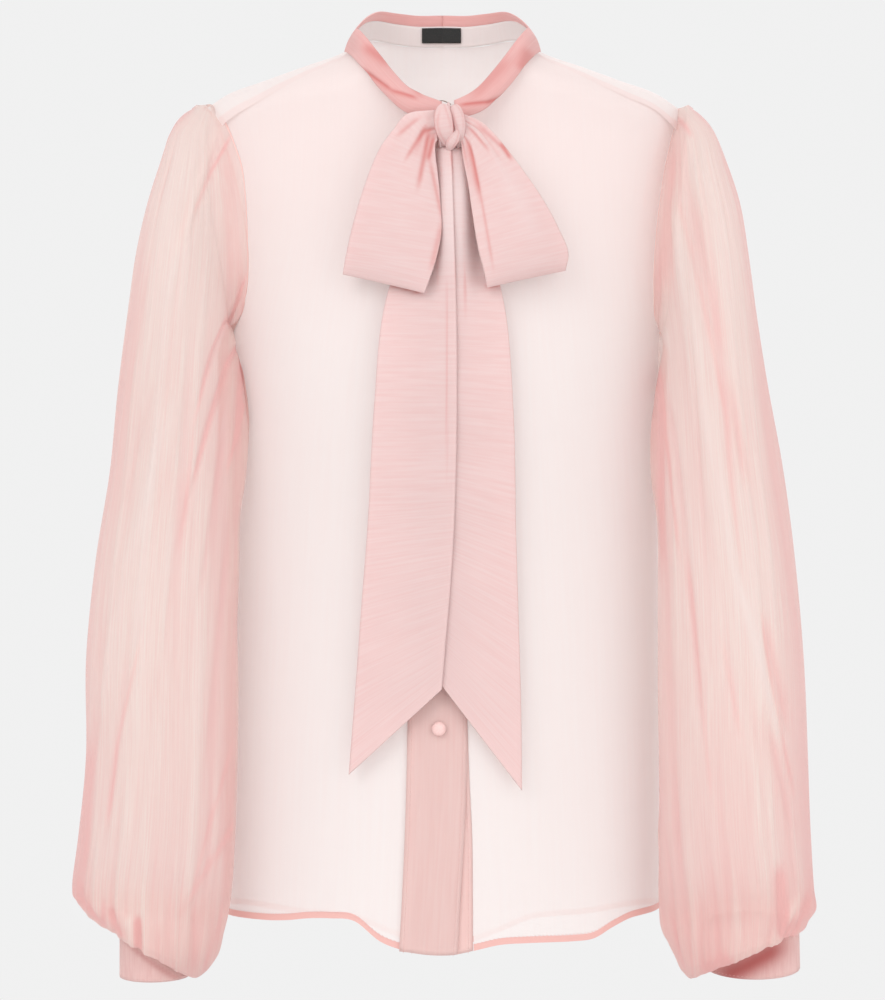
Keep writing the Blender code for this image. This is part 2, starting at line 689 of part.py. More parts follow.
def sleeve_surface(turn, share, side, bag, cuff):
    """A sleeve's surface for the +X side, by degrees round it and share down it."""
    upper = [(row[0], row[1] if side < 0 else row[2], *row[3:]) for row in SLEEVE]
    rows = [*upper, *bag]
    first, last = rows[0][0], rows[-1][0]
    point = ring(turn, share, columns(rows, share))
    bagged = np.clip((share - BAG_FROM) / BAG_OVER, 0, 1)
    point[..., 2] += BAG_FRONT_RISE * bagged * np.maximum(np.sin(np.radians(turn)), 0)
    at_first = np.full_like(share, first)
    first_ring = ring(turn, at_first, columns(rows, at_first))
    head = np.clip(share / first, 0, 1)[..., None]
    point = np.where(share[..., None] < first, armhole(turn) * (1 - head) + first_ring * head, point)
    foot = np.clip((share - last) / (1 - last), 0, 1)[..., None]
    top = cuff_point(cuff, turn, CUFF_HEIGHT - CUFF_LAP, CUFF_LAP_OUT)
    point = np.where(share[..., None] > last, point * (1 - foot) + top * foot, point)
    round_it = np.radians(turn)
    out = np.stack([np.cos(round_it), -np.sin(round_it), np.zeros_like(round_it)], axis=-1)
    point = point + sleeve_folds(turn, share)[..., None] * out
    gap = ARMHOLE_LAP + (SLEEVE_CLEAR - ARMHOLE_LAP) * np.clip(share / CLEAR_OVER, 0, 1)
    return np.where((share > 0)[..., None], clear_of_body(point, gap), point)


def sleeve(name, side, bag, cuff, material):
    """A balloon sleeve from the armhole to the cuff; side is -1 for the wearer's right."""

    def shape(u, v):
        share = np.interp(v, np.linspace(0, 1, len(SLEEVE_STEPS)), SLEEVE_STEPS)
        point = sleeve_surface(360 * u, share, side, bag, cuff)
        return point * np.array([side, 1, 1])

    return cloth(name, shape, SLEEVE_GRID, material, closed=True)


def cuff_piece(name, side, cuff, material):
    """A cuff: a ring of doubled cloth."""

    def shape(u, v):
        return cuff_point(cuff, 360 * u, CUFF_HEIGHT * v) * np.array([side, 1, 1])

    return cloth(name, shape, CUFF_GRID, material, closed=True)


def neckline(share):
    """Points of half the neckline, by share from the middle front to the middle back."""
    front_x, front_rise = columns(NECK_FRONT, share * 2)
    back_x, back_rise = columns(NECK_BACK, (1 - share) * 2)
    in_front = share < 0.5
    angle = np.where(in_front, angle_at(front_x, front_rise), 180 - angle_at(back_x, back_rise))
    rise = np.where(in_front, front_rise, back_rise)
    return body(angle, rise)


def neck_share(x):
    """Share along the front neckline at a small distance from the middle."""
    return x / NECK_FRONT[1][1] * NECK_FRONT[1][0] / 2


def stand(share, up, inwards=0.0):
    """A point of the neck's stand, by share from the middle front to the back and share up it."""
    base = neckline(share)
    height, lean = columns(NECKBAND, share)
    inward = unit(-base * np.array([1, 1, 0]))
    upward = unit(np.array([0, 0, 1]) + lean[:, None] * inward)
    return base + upward * (EDGE_OFF + SEAM_GAP + height * up)[:, None] + inward * inwards


def neckband(material):
    """The stand inside the neck, from one front edge round the back to the other."""

    def shape(u, v):
        first = neck_share(NECKBAND_HALF_OPEN)
        share = first + (1 - first) * (1 - np.abs(2 * u - 1))
        return stand(share, v) * np.stack([np.where(u < 0.5, -1, 1), 0 * u + 1, 0 * u + 1], axis=-1)

    return cloth("neckband", shape, NECKBAND_GRID, material)


def band(name, table, side, end_x, material):
    """Half the tie round the neck, from the knot to the middle back."""

    def shape(u, v):
        first = neck_share(end_x)
        share = first + (BAND_LAST - first) * u
        base = neckline(share)
        low_out, low_up, top_out, top_up, bulge = columns(table, u)
        outward = unit(base * np.array([1, 1, 0]))
        out = low_out + (top_out - low_out) * v + bulge * np.sin(pi * v)
        up = EDGE_OFF + SEAM_GAP + low_up + (top_up - low_up) * v
        point = base + outward * out[:, None]
        point[:, 2] += up
        return point * np.array([side, 1, 1])

    return cloth(name, shape, BAND_GRID, material)


def loop(name, table, material):
    """A loop of the bow: down from the knot in front, folded, and back up behind."""

    def shape(u, v):
        down = np.sin((1 - np.abs(2 * v - 1)) * pi / 2)
        left_x, left_z, right_x, right_z, apart, lift = columns(table, down)
        x = left_x + (right_x - left_x) * u
        z = left_z + (right_z - left_z) * u
        belly = LOOP_EDGE + (1 - LOOP_EDGE) * np.sin(pi * u)
        rounded = np.sqrt(1 - np.clip((down - LOOP_FOLD) / (1 - LOOP_FOLD), 0, 1) ** 2)
        half = apart * belly / 2
        return on_front(x, z, lift + half + np.where(v < 0.5, half, -half) * rounded)

    return cloth(name, shape, LOOP_GRID, material)


def tail(name, table, lift, material):
    """A tail of the tie, hanging from the knot to its slanted end."""

    def shape(u, v):
        left_x, left_z, right_x, right_z = columns(table, v)
        x = left_x + (right_x - left_x) * u
        z = left_z + (right_z - left_z) * u
        return on_front(x, z, np.full_like(u, lift))

    return cloth(name, shape, TAIL_GRID, material)


def knot(material):
    """The knot: a soft rounded wrap over the middle of the bow."""
    mesh = bpy.data.meshes.new("knot")
    ball = bmesh.new()
    bmesh.ops.create_uvsphere(ball, u_segments=16, v_segments=10, radius=1.0)
    for corner in ball.verts:
        x, y, z = corner.co
        narrow = 1 - KNOT_PINCH * cos(pi * z)
        corner.co = (
            KNOT_MIDDLE[0] + KNOT_HALF[0] * x * narrow,
            KNOT_MIDDLE[1] + KNOT_HALF[1] * y * narrow,
            KNOT_MIDDLE[2] + KNOT_HALF[2] * z,
        )
    ball.to_mesh(mesh)
    ball.free()
    return named_object("knot", mesh, material)


def covered_button(name, seat, outward, material):
    """A cloth-covered button: a flattened ball with a flat seat, standing on a point of the cloth."""
    outward = unit(np.asarray(outward, float))
    side = unit(np.cross(outward, (0, 0, 1)))
    up = np.cross(outward, side)
    mesh = bpy.data.meshes.new(name)
    ball = bmesh.new()
    bmesh.ops.create_uvsphere(ball, u_segments=BUTTON_GRID[0], v_segments=BUTTON_GRID[1], radius=1.0)
    for corner in ball.verts:
        x, y, z = corner.co
        height = BUTTON_HEIGHT * max(1 + BUTTON_ROUND * z, 0) / (1 + BUTTON_ROUND)
        corner.co = seat + side * x * BUTTON_RADIUS + up * y * BUTTON_RADIUS + outward * height
    bmesh.ops.dissolve_degenerate(ball, edges=ball.edges, dist=0.00002)
    ball.to_mesh(mesh)
    ball.free()
    return named_object(name, mesh, material)


def buttons(material):
    """The buttons down the front and one on each cuff."""
    for index, height in enumerate(BUTTON_HEIGHTS, start=1):
        angle = angle_at(BUTTON_X, height)
        seat = body(angle, height, PLACKET_OUT + WALL / 2 + SEAM_GAP)
        outward = seat - body(angle, height)
        covered_button(f"button_{index}", seat, outward, material)
    for name, side, cuff in (("right", -1, CUFF_RIGHT), ("left", 1, CUFF_LEFT)):
        flip = np.array([side, 1, 1])
        seat = cuff_point(cuff, CUFF_BUTTON_ANGLE, CUFF_BUTTON_UP, CUFF_BUTTON_SEAT) * flip
        outward = seat - cuff_point(cuff, CUFF_BUTTON_ANGLE, CUFF_BUTTON_UP) * flip
        covered_button(f"cuff_button_{name}", seat, outward, material)


def label(material):
    """The bare woven label on the inside of the stand at the middle back."""

    def shape(u, v):
        x = LABEL_MIDDLE + (u - 0.5) * LABEL_WIDTH
        shares, back_x, _ = np.array(NECK_BACK).T
        share = 1 - np.interp(np.abs(x), back_x, shares) / 2
        up = LABEL_SHARES[0] + (LABEL_SHARES[1] - LABEL_SHARES[0]) * v
        point = stand(share, up, LABEL_OFF)
        point[:, 0] = x
        return point

    return cloth("label", shape, LABEL_GRID, material, wall=LABEL_WALL)


def neck_hook(material):
    """The small wire hook that closes the stand at the front."""
    curve = bpy.data.curves.new("neck_hook", "CURVE")
    curve.dimensions = "3D"
    curve.bevel_depth = HOOK_WIRE / 2
    curve.bevel_resolution = 2
    curve.use_fill_caps = True
    line = curve.splines.new("POLY")
    line.points.add(len(HOOK_ROUTE) - 1)
    for point, place_of in zip(line.points, HOOK_ROUTE):
        point.co = (*place_of, 1.0)
    return named_object("neck_hook", curve, material)


def build():
    body_cloth = finish("body_cloth", BODY_PINK)
    sleeve_cloth = finish("sleeve_cloth", SLEEVE_PINK)
    band_cloth = finish("band_cloth", TIE_PINK)
    tie_cloth = finish("tie_cloth", TIE_PINK)
    cuff_cloth = finish("cuff_cloth", CUFF_PINK)
    button_cloth = finish("button_cloth", CUFF_PINK)
    front("front_right", -1, lambda height: placket_top_left(height) + PLACKET_OVERLAP, body_cloth)
    front("front_left", 1, lambda height: placket_under_right(height) + SEAM_GAP, body_cloth)
    back(body_cloth)
    placket("placket_top", placket_top_left, placket_top_right, PLACKET_OUT, band_cloth)
    placket(
        "placket_under",
        lambda height: placket_top_left(height) + PLACKET_OVERLAP + SEAM_GAP,
        placket_under_right,
        0.0,
        band_cloth,
    )
    sleeve("sleeve_right", -1, BAG_RIGHT, CUFF_RIGHT, sleeve_cloth)
    sleeve("sleeve_left", 1, BAG_LEFT, CUFF_LEFT, sleeve_cloth)
    cuff_piece("cuff_right", -1, CUFF_RIGHT, cuff_cloth)
    cuff_piece("cuff_left", 1, CUFF_LEFT, cuff_cloth)
    neckband(band_cloth)
    band("tie_band_right", BAND_RIGHT, -1, BAND_ENDS[0], tie_cloth)
    band("tie_band_left", BAND_LEFT, 1, BAND_ENDS[1], tie_cloth)
    knot(tie_cloth)
    loop("loop_right", LOOP_RIGHT, tie_cloth)
    loop("loop_left", LOOP_LEFT, tie_cloth)
    tail("tail_right", TAIL_RIGHT, TAIL_LIFT[0], tie_cloth)
    tail("tail_left", TAIL_LEFT, TAIL_LIFT[1], tie_cloth)
    buttons(button_cloth)
    label(finish("label_black", LABEL_BLACK))
    neck_hook(finish("wire_bronze", WIRE_BRONZE, metallic=0.8))


for old in list(bpy.data.objects):
    bpy.data.objects.remove(old, do_unlink=True)
GROUP = collection_for("tie_neck_blouse")
build()
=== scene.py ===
"""Tie neck blouse in sheer silk crepon: every cloth piece, its folds, seams and stitches."""

from math import cos, pi, radians, sin

import bmesh
import bpy
import numpy as np
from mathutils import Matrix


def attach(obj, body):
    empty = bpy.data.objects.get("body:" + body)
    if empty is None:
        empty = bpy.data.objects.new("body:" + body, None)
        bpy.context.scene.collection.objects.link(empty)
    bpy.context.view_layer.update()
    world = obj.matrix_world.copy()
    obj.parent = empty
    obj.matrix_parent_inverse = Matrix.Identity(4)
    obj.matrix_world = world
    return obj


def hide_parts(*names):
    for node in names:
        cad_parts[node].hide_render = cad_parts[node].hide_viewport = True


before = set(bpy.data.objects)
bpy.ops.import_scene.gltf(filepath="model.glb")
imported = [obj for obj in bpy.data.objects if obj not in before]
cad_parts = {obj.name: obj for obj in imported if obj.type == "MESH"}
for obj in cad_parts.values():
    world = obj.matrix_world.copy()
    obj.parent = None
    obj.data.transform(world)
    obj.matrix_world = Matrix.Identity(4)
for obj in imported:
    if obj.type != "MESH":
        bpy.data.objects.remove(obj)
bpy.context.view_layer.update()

# Cloth thickness of one layer and of a doubled piece, in metres
SINGLE = 0.0005
DOUBLE = 0.0009

# The doubled hem and seam allowances, how softly they end, and the stitches along them, in metres
HEM_WIDTH = 0.0044
HEM_SOFT = 0.0003
STITCH_PITCH = 0.0030
STITCH_LENGTH = 0.0022
STITCH_THICK = 0.00028
STITCH_OUT = 0.0004

# The lines kept for stitches, by the name of their run
SEAMS = {}

# The body's form, by height: half width, half depth in front, half depth behind
BODY = (
    (-0.700, 0.1610, 0.1210, 0.1200),
    (-0.520, 0.1600, 0.1160, 0.1150),
    (-0.360, 0.1580, 0.1120, 0.1090),
    (-0.200, 0.1590, 0.1180, 0.1120),
    (-0.120, 0.1630, 0.1010, 0.1040),
    (-0.055, 0.1700, 0.0760, 0.0760),
    (-0.020, 0.1745, 0.0750, 0.0750),
    (0.080, 0.1750, 0.0740, 0.0740),
)

# The shoulders, by distance from the middle: height of the ridge, height over which cloth rolls to it
SHOULDER = (
    (0.000, 0.0400, 0.0450),
    (0.040, 0.0270, 0.0410),
    (0.072, 0.0060, 0.0360),
    (0.100, -0.0040, 0.0320),
    (0.130, -0.0145, 0.0290),
    (0.160, -0.0255, 0.0262),
    (0.175, -0.0355, 0.0250),
)

# The shoulder seam lies in front of the ridge, by distance from the middle: turn up the roll in degrees
SHOULDER_SEAM = ((0.0680, 52.0), (0.1100, 32.0), (0.1570, 8.0))
SHOULDER_SEAM_LEFT = ((0.0680, 52.0), (0.1100, 34.0), (0.1690, 21.7))

# Half the neckline from the middle to the shoulder seam, by share: distance out, rise up the cloth
NECK_FRONT = (
    (0.00, 0.0000, -0.0500),
    (0.25, 0.0215, -0.0440),
    (0.42, 0.0330, -0.0360),
    (0.58, 0.0435, -0.0265),
    (0.74, 0.0530, -0.0160),
    (0.88, 0.0615, -0.0050),
    (1.00, 0.0680, 0.0052),
)
NECK_BACK = (
    (0.00, 0.0000, 0.0203),
    (0.35, 0.0255, 0.0215),
    (0.62, 0.0455, 0.0275),
    (0.85, 0.0615, 0.0410),
    (1.00, 0.0680, 0.0539),
)

# The armhole round from the shoulder ridge in degrees: place round the body in degrees, rise up the cloth
ARMHOLE_FRONT = (
    (0, 77.0, -0.0200),
    (25, 72.3, -0.0370),
    (45, 66.9, -0.0470),
    (70, 62.0, -0.0670),
    (95, 59.5, -0.0880),
    (120, 59.6, -0.1330),
    (145, 61.5, -0.1710),
    (163, 67.5, -0.1920),
    (180, 90.0, -0.1990),
)
ARMHOLE_FRONT_LEFT = (
    (0, 84.0, -0.0200),
    (25, 83.0, -0.0370),
    (45, 81.9, -0.0470),
    (70, 77.5, -0.0670),
    (95, 74.5, -0.0880),
    (120, 72.0, -0.1330),
    (145, 72.5, -0.1710),
    (163, 76.0, -0.1920),
    (180, 90.0, -0.1990),
)
ARMHOLE_BACK = (
    (0, 96.0, -0.0200),
    (25, 101.0, -0.0330),
    (45, 106.0, -0.0480),
    (70, 112.0, -0.0760),
    (95, 115.5, -0.1100),
    (120, 116.0, -0.1430),
    (145, 112.5, -0.1730),
    (163, 103.5, -0.1920),
    (180, 90.0, -0.1990),
)
ARMHOLE_LAP = 0.0003
SEAM_END = 45.0
ARMPIT = 180.0
ARMHOLE_STEPS = (ARMPIT, 172, 163, 151, 136, 118, 100, 81, 62, SEAM_END)
TURN_RISE = -0.205

# The lower edges, by distance from the middle towards the wearer's left: height
HEM_HEIGHT = -0.63
HEM_FRONT = (
    (-0.161, -0.6230),
    (-0.120, -0.6210),
    (-0.075, -0.6165),
    (-0.052, -0.6215),
    (-0.041, -0.6330),
    (-0.020, -0.6385),
    (0.005, -0.6400),
    (0.039, -0.6335),
    (0.080, -0.6330),
    (0.112, -0.6310),
    (0.125, -0.6235),
    (0.161, -0.6190),
)
HEM_BACK = ((0.000, -0.6680), (0.030, -0.6610), (0.065, -0.6450), (0.110, -0.6370), (0.161, -0.6210))

# The front bands, by height: left edge of the top one, its right edge, right edge of the under one
PLACKET = (
    (-0.645, -0.0304, 0.0100, 0.0213),
    (-0.600, -0.0280, 0.0125, 0.0212),
    (-0.560, -0.0262, 0.0148, 0.0208),
    (-0.520, -0.0250, 0.0165, 0.0190),
    (-0.480, -0.0242, 0.0172, 0.0176),
    (-0.300, -0.0235, 0.0170, 0.0172),
    (-0.040, -0.0200, 0.0150, 0.0170),
)
PLACKET_OVERLAP = 0.005
PLACKET_CLEAR = 0.0003
PLACKET_OUT = 0.0019

# Each piece's grid, in cells across and down, and its size in metres for the weave
CELLS = {
    "placket": (14, 228),
    "sleeve": (240, 198),
    "cuff": (128, 16),
    "neckband": (160, 8),
    "band": (110, 26),
    "loop": (56, 180),
    "tail": (48, 220),
    "knot": (96, 64),
    "strap": (32, 40),
    "label": (40, 12),
}
WEAVE = {
    "front": (0.25, 0.62),
    "back": (0.52, 0.68),
    "placket": (0.041, 0.6),
    "cuff": (0.20, 0.03),
    "neckband": (0.40, 0.016),
    "band": (0.18, 0.035),
    "loop": (0.075, 0.26),
    "tail": (0.065, 0.45),
    "knot": (0.06, 0.02),
    "strap": (0.02, 0.03),
    "label": (0.0292, 0.012),
    "button": (0.03, 0.01),
    "hook": (0.002, 0.013),
}

# The fronts' soft drape: its height, degrees round the body for each radian of its wave, the depths
# below the shoulder over which it comes in, and the degrees round over which it fades to the side
DRAPE_HEIGHT = 0.0012
DRAPE_WAVE = 9.0
DRAPE_DOWN = (0.30, 0.62)
DRAPE_SIDE = (60, 88)

# Painted shade on the fronts near the shoulders, to keep their tops from showing lighter than the rest, by
# height, and the deeper colour of the back's seam allowance, by width; and the height up the middle of the
# back that lies level with the top of the armhole
TOP_PAINTED_SHADE = -0.25
TOP_PAINTED_SHADE_OVER = (-0.24, -0.08)
ALLOWANCE_TINT = -0.35
ALLOWANCE_WIDTH = (0.007, 0.010)
BACK_LEVEL = -0.030

# Cells of the panels' grids by stretch, rounds that even them out, how finely each cell is divided, and
# half the degrees left open at the side seam
FRONT_GRID = (5, 7, 10, 9)
BACK_GRID = (4, 7, 8, 9, 5)
EVENING_ROUNDS = 25
PANEL_FINE = (7, 9)
BACK_FINE = (7, 7)
SIDE_HALF_GAP = 0.01

# The sleeve's rings, by share down it: outer x for the wearer's right, and left, outer z, inner x,
# inner z, y of the middle, half depth
SLEEVE = (
    (0.04, 0.177, 0.178, -0.032, 0.160, -0.209, -0.0020, 0.0550),
    (0.09, 0.189, 0.188, -0.039, 0.157, -0.221, -0.0050, 0.0610),
    (0.15, 0.198, 0.198, -0.052, 0.152, -0.236, -0.0100, 0.0660),
    (0.21, 0.205, 0.207, -0.076, 0.147, -0.252, -0.0175, 0.0705),
    (0.28, 0.214, 0.216, -0.108, 0.143, -0.268, -0.0270, 0.0730),
    (0.35, 0.221, 0.221, -0.145, 0.142, -0.285, -0.0380, 0.0720),
    (0.42, 0.226, 0.226, -0.190, 0.143, -0.310, -0.0490, 0.0670),
    (0.49, 0.232, 0.233, -0.240, 0.146, -0.340, -0.058, 0.062),
    (0.56, 0.237, 0.243, -0.300, 0.146, -0.385, -0.064, 0.060),
    (0.63, 0.247, 0.251, -0.365, 0.146, -0.430, -0.068, 0.060),
    (0.70, 0.254, 0.257, -0.435, 0.146, -0.480, -0.070, 0.060),
    (0.77, 0.254, 0.260, -0.505, 0.147, -0.535, -0.072, 0.058),
    (0.83, 0.259, 0.262, -0.560, 0.149, -0.580, -0.074, 0.056),
    (0.88, 0.263, 0.264, -0.598, 0.152, -0.612, -0.076, 0.054),
)

# The rings of the bag over each cuff, in the same columns with one outer x
BAG_RIGHT = (
    (0.915, 0.2600, -0.6070, 0.1555, -0.6290, -0.077, 0.0530),
    (0.940, 0.2510, -0.6175, 0.1600, -0.6460, -0.078, 0.0520),
    (0.960, 0.2420, -0.6240, 0.1690, -0.6580, -0.078, 0.0510),
    (0.975, 0.2360, -0.6270, 0.1765, -0.6620, -0.078, 0.0480),
    (0.990, 0.2330, -0.6260, 0.1795, -0.6530, -0.077, 0.0430),
)
BAG_LEFT = (
    (0.915, 0.2650, -0.6130, 0.1560, -0.6290, -0.077, 0.0530),
    (0.940, 0.2600, -0.6200, 0.1640, -0.6440, -0.078, 0.0510),
    (0.960, 0.2575, -0.6260, 0.1710, -0.6575, -0.078, 0.0490),
    (0.975, 0.2555, -0.6285, 0.1770, -0.6625, -0.077, 0.0450),
    (0.990, 0.2548, -0.6280, 0.1815, -0.6540, -0.076, 0.0390),
)
BAG_FRONT_RISE = 0.006
BAG_FROM = 0.88
BAG_OVER = 0.08
SLEEVE_CLEAR = 0.0050
CLEAR_OVER = 0.06
RING_SQUARE = ((0.0, 1.00), (0.20, 0.95), (0.50, 1.0))
SLEEVE_STEPS = (
    *(0, 0.04, 0.09, 0.15, 0.22, 0.30, 0.39, 0.48, 0.57, 0.66),
    *(0.74, 0.81, 0.87, 0.915, 0.945, 0.963, 0.978, 0.989, 1),
)

# Each cuff: x of the middle, y of the middle, z of the lower edge, half width, half depth, lean forward
CUFF_RIGHT = (0.2047, -0.076, -0.6600, 0.0245, 0.0375, 0.0)
CUFF_LEFT = (0.2205, -0.076, -0.6540, 0.0335, 0.0300, 10.0)
CUFF_HEIGHT = 0.030
CUFF_LAP = 0.001
CUFF_LAP_OUT = 0.0017

# The stand of the neck, by share from the middle front to the middle back: height, lean inwards
NECKBAND = ((0.0, 0.008, 0.10), (0.3, 0.013, 0.20), (0.6, 0.0145, 0.20), (1.0, 0.0160, 0.05))
NECKBAND_HALF_OPEN = 0.004
SEAM_OFF = 0.0002

# The tie round the neck, by share from the knot to the middle back: how far its lower edge lies out
# from the neckline and over it, the same for its upper edge, and how far the cloth bulges between them
BAND_RIGHT = (
    (0.00, 0.0200, -0.0045, 0.0185, 0.0090, 0.0020),
    (0.10, 0.0165, -0.0040, 0.0100, 0.0135, 0.0035),
    (0.24, 0.0088, -0.0010, 0.0010, 0.0183, 0.0040),
    (0.40, 0.0040, 0.0005, -0.0045, 0.0196, 0.0020),
    (0.52, 0.0030, 0.0010, -0.0070, 0.0186, 0.0012),
    (0.70, 0.0028, 0.0015, -0.0040, 0.0222, 0.0010),
    (1.00, 0.0030, 0.0015, 0.0015, 0.0246, 0.0010),
)
BAND_LEFT = (
    (0.00, 0.0200, -0.0045, 0.0185, 0.0085, 0.0020),
    (0.10, 0.0165, -0.0035, 0.0090, 0.0140, 0.0045),
    (0.24, 0.0093, -0.0010, 0.0005, 0.0188, 0.0045),
    (0.40, 0.0042, 0.0005, -0.0045, 0.0198, 0.0024),
    (0.52, 0.0030, 0.0010, -0.0070, 0.0188, 0.0014),
    (0.70, 0.0028, 0.0015, -0.0040, 0.0222, 0.0010),
    (1.00, 0.0030, 0.0015, 0.0015, 0.0246, 0.0010),
)

# Where each half of the tie starts from the middle, how deep its creases are, and how far back they go
BAND_ENDS = (0.0003, 0.0064)
BAND_CREASE = 0.0010
BAND_FRONT_TO = 0.01

# The bow's loops, by share from the knot to the fold: left edge x, z, right edge x, z, how far the
# upper cloth stands off the under one, how far the under one stands off the body
LOOP_RIGHT = (
    (0.00, -0.0041, -0.0480, -0.0036, -0.0690, 0.0040, 0.0275),
    (0.10, -0.0235, -0.0500, -0.0050, -0.0720, 0.0070, 0.0240),
    (0.22, -0.0345, -0.0615, -0.0050, -0.0800, 0.0100, 0.0200),
    (0.38, -0.0450, -0.0770, -0.0035, -0.0930, 0.0130, 0.0175),
    (0.56, -0.0545, -0.1020, -0.0015, -0.1140, 0.0140, 0.0165),
    (0.75, -0.0620, -0.1280, -0.0010, -0.1380, 0.0130, 0.0165),
    (0.90, -0.0670, -0.1500, -0.0060, -0.1600, 0.0100, 0.0165),
    (1.00, -0.0695, -0.1640, -0.0125, -0.1780, 0.0060, 0.0165),
)
LOOP_LEFT = (
    (0.00, 0.0128, -0.0690, 0.0131, -0.0500, 0.0040, 0.0275),
    (0.10, 0.0135, -0.0750, 0.0270, -0.0560, 0.0070, 0.0240),
    (0.22, 0.0150, -0.0860, 0.0390, -0.0675, 0.0110, 0.0200),
    (0.38, 0.0180, -0.1020, 0.0530, -0.0860, 0.0140, 0.0175),
    (0.56, 0.0210, -0.1240, 0.0685, -0.1090, 0.0160, 0.0165),
    (0.75, 0.0250, -0.1480, 0.0810, -0.1320, 0.0150, 0.0165),
    (0.90, 0.0290, -0.1640, 0.0880, -0.1500, 0.0110, 0.0165),
    (1.00, 0.0310, -0.1740, 0.0860, -0.1610, 0.0060, 0.0165),
)
LOOP_FOLD = 0.94
LOOP_EDGE = 0.75
LOOP_CREASE = 0.0005

# Pleats of a loop below the knot: how many, places across, how far each strays, share down where they
# end, heights, half widths across, and the height that takes the full painted shade and painted highlight,
# by the pleat's sign
PLEATS = 7
PLEAT_PLACES = (0.08, 0.92)
PLEAT_STRAY = (-0.05, 0.05)
PLEAT_ENDS = (0.25, 0.8)
PLEAT_HEIGHTS = (-0.0011, 0.0009)
PLEAT_WIDTHS = (0.035, 0.07)
PLEAT_FULL = 0.0016

# The tie's tails, by share from the knot to the cut end: left edge x, z, right edge x, z
TAIL_RIGHT = (
    (0.00, -0.0040, -0.0746, 0.0060, -0.0746),
    (0.12, -0.0240, -0.1350, 0.0080, -0.1350),
    (0.22, -0.0400, -0.1850, 0.0095, -0.1850),
    (0.36, -0.0475, -0.2550, 0.0100, -0.2550),
    (0.52, -0.0520, -0.3350, 0.0085, -0.3300),
    (0.68, -0.0570, -0.4000, 0.0055, -0.3820),
    (0.84, -0.0610, -0.4560, 0.0020, -0.4230),
    (1.00, -0.0655, -0.5140, -0.0005, -0.4540),
)
TAIL_LEFT = (
    (0.00, 0.0065, -0.0745, 0.0160, -0.0745),
    (0.12, 0.0000, -0.1350, 0.0300, -0.1350),
    (0.22, -0.0060, -0.1850, 0.0430, -0.1850),
    (0.36, -0.0090, -0.2550, 0.0495, -0.2600),
    (0.52, -0.0100, -0.3250, 0.0515, -0.3450),
    (0.68, -0.0090, -0.3760, 0.0535, -0.4130),
    (0.84, -0.0080, -0.4140, 0.0550, -0.4700),
    (1.00, -0.0070, -0.4430, 0.0555, -0.5250),
)
TAIL_LIFT = (0.0123, 0.0100)

# The knot: middle, half sizes, share of its width between the ends, how blunt they are, and the height
# of a ridge, as a share of its size, at which the troughs between ridges take the full painted shade
KNOT_MIDDLE = (0.0045, -0.1015, -0.0600)
KNOT_HALF = (0.0100, 0.0105, 0.0165)
KNOT_WIDE = 0.92
KNOT_BLUNT = 0.55
KNOT_FULL = 0.12

# The knot's two sets of ridges: height as a share, radians across it, bend
KNOT_RIDGES = ((0.10, 9, 0.8), (0.05, 17, 1.1))

# The creases down each turn of cloth over it: depth as a share, place round it, half width, and the share
# down it over which the first comes in and the second goes; and how both wander
STRAP_CREASES = ((0.20, 0.32, 0.03, 0.1, 0.4), (0.16, 0.18, 0.025, 0.4, 0.9))
STRAP_WANDER = (0.05, 5, 40000)

# The bare label inside the neck
LABEL_MIDDLE = -0.0008
LABEL_WIDTH = 0.0292
LABEL_SHARES = (0.20, 0.92)
LABEL_OFF = 0.0016

# Covered buttons: sizes, places down the front and on each cuff, corners and puckers round the rim, and
# the profile from top to seat
BUTTON_RADIUS = 0.0050
BUTTON_HEIGHT = 0.0056
BUTTON_X = -0.0025
BUTTON_HEIGHTS = (-0.138, -0.224, -0.310, -0.396, -0.482)
BUTTON_SEAT = 0.0028
BUTTON_ROUND = 49
BUTTON_PUCKER = 0.012
BUTTON_PUCKERS = 16
BUTTON_PROFILE = (
    (0.00, 1.00),
    (0.25, 0.985),
    (0.50, 0.93),
    (0.70, 0.84),
    (0.86, 0.70),
    (0.96, 0.50),
    (1.00, 0.32),
    (0.97, 0.16),
    (0.85, 0.05),
    (0.60, 0.00),
    (0.00, 0.00),
)
CUFF_BUTTON_ANGLE = 325.0
CUFF_BUTTON_UP = 0.0105
CUFF_BUTTON_SEAT = 0.0018

# The neck hook: thickness of its wire, how finely its route is divided, corners round it, and the route
HOOK_WIRE = 0.0007
HOOK_FINE = 8
HOOK_ROUND = 13
HOOK_ROUTE = (
    (-0.0060, -0.0749, -0.0402),
    (-0.0035, -0.0749, -0.0382),
    (0.0000, -0.0749, -0.0376),
    (0.0035, -0.0749, -0.0388),
    (0.0060, -0.0749, -0.0402),
)

# Main folds of the sleeves in millimetres, each as on the wearer's left: x and z of both ends, half
# width, height (a trough is negative)
FOLDS_RIGHT = (
    (188, -250, 224, -382, 5, 1.6),
    (224, -382, 240, -470, 5, 1.2),
    (143, -160, 170, -247, 2.0, -1.6),
    (160, -248, 186, -360, 2.2, -1.5),
    (186, -360, 200, -470, 3.0, -1.0),
    (145, -199, 162, -265, 2.0, -1.3),
    (152, -265, 172, -400, 2.4, -1.2),
    (150, -330, 166, -520, 2.4, -1.2),
    (160, -55, 184, -150, 2.6, -0.9),
    (166, -60, 196, -190, 3.0, 1.0),
    (203, -240, 226, -330, 2.6, -0.9),
    (236, -400, 246, -520, 2.6, -1.2),
    (220, -430, 236, -560, 2.8, -1.2),
    (168, -420, 178, -600, 3.0, 1.0),
    (158, -440, 166, -610, 2.2, -1.0),
    (192, -480, 204, -610, 3.2, -0.7),
    (212, -612, 212, -638, 2.2, -2.4),
    (219, -612, 216, -636, 3.0, 1.8),
    (256, -600, 236, -622, 2.6, -1.6),
    (232, -606, 224, -628, 2.2, -1.4),
)
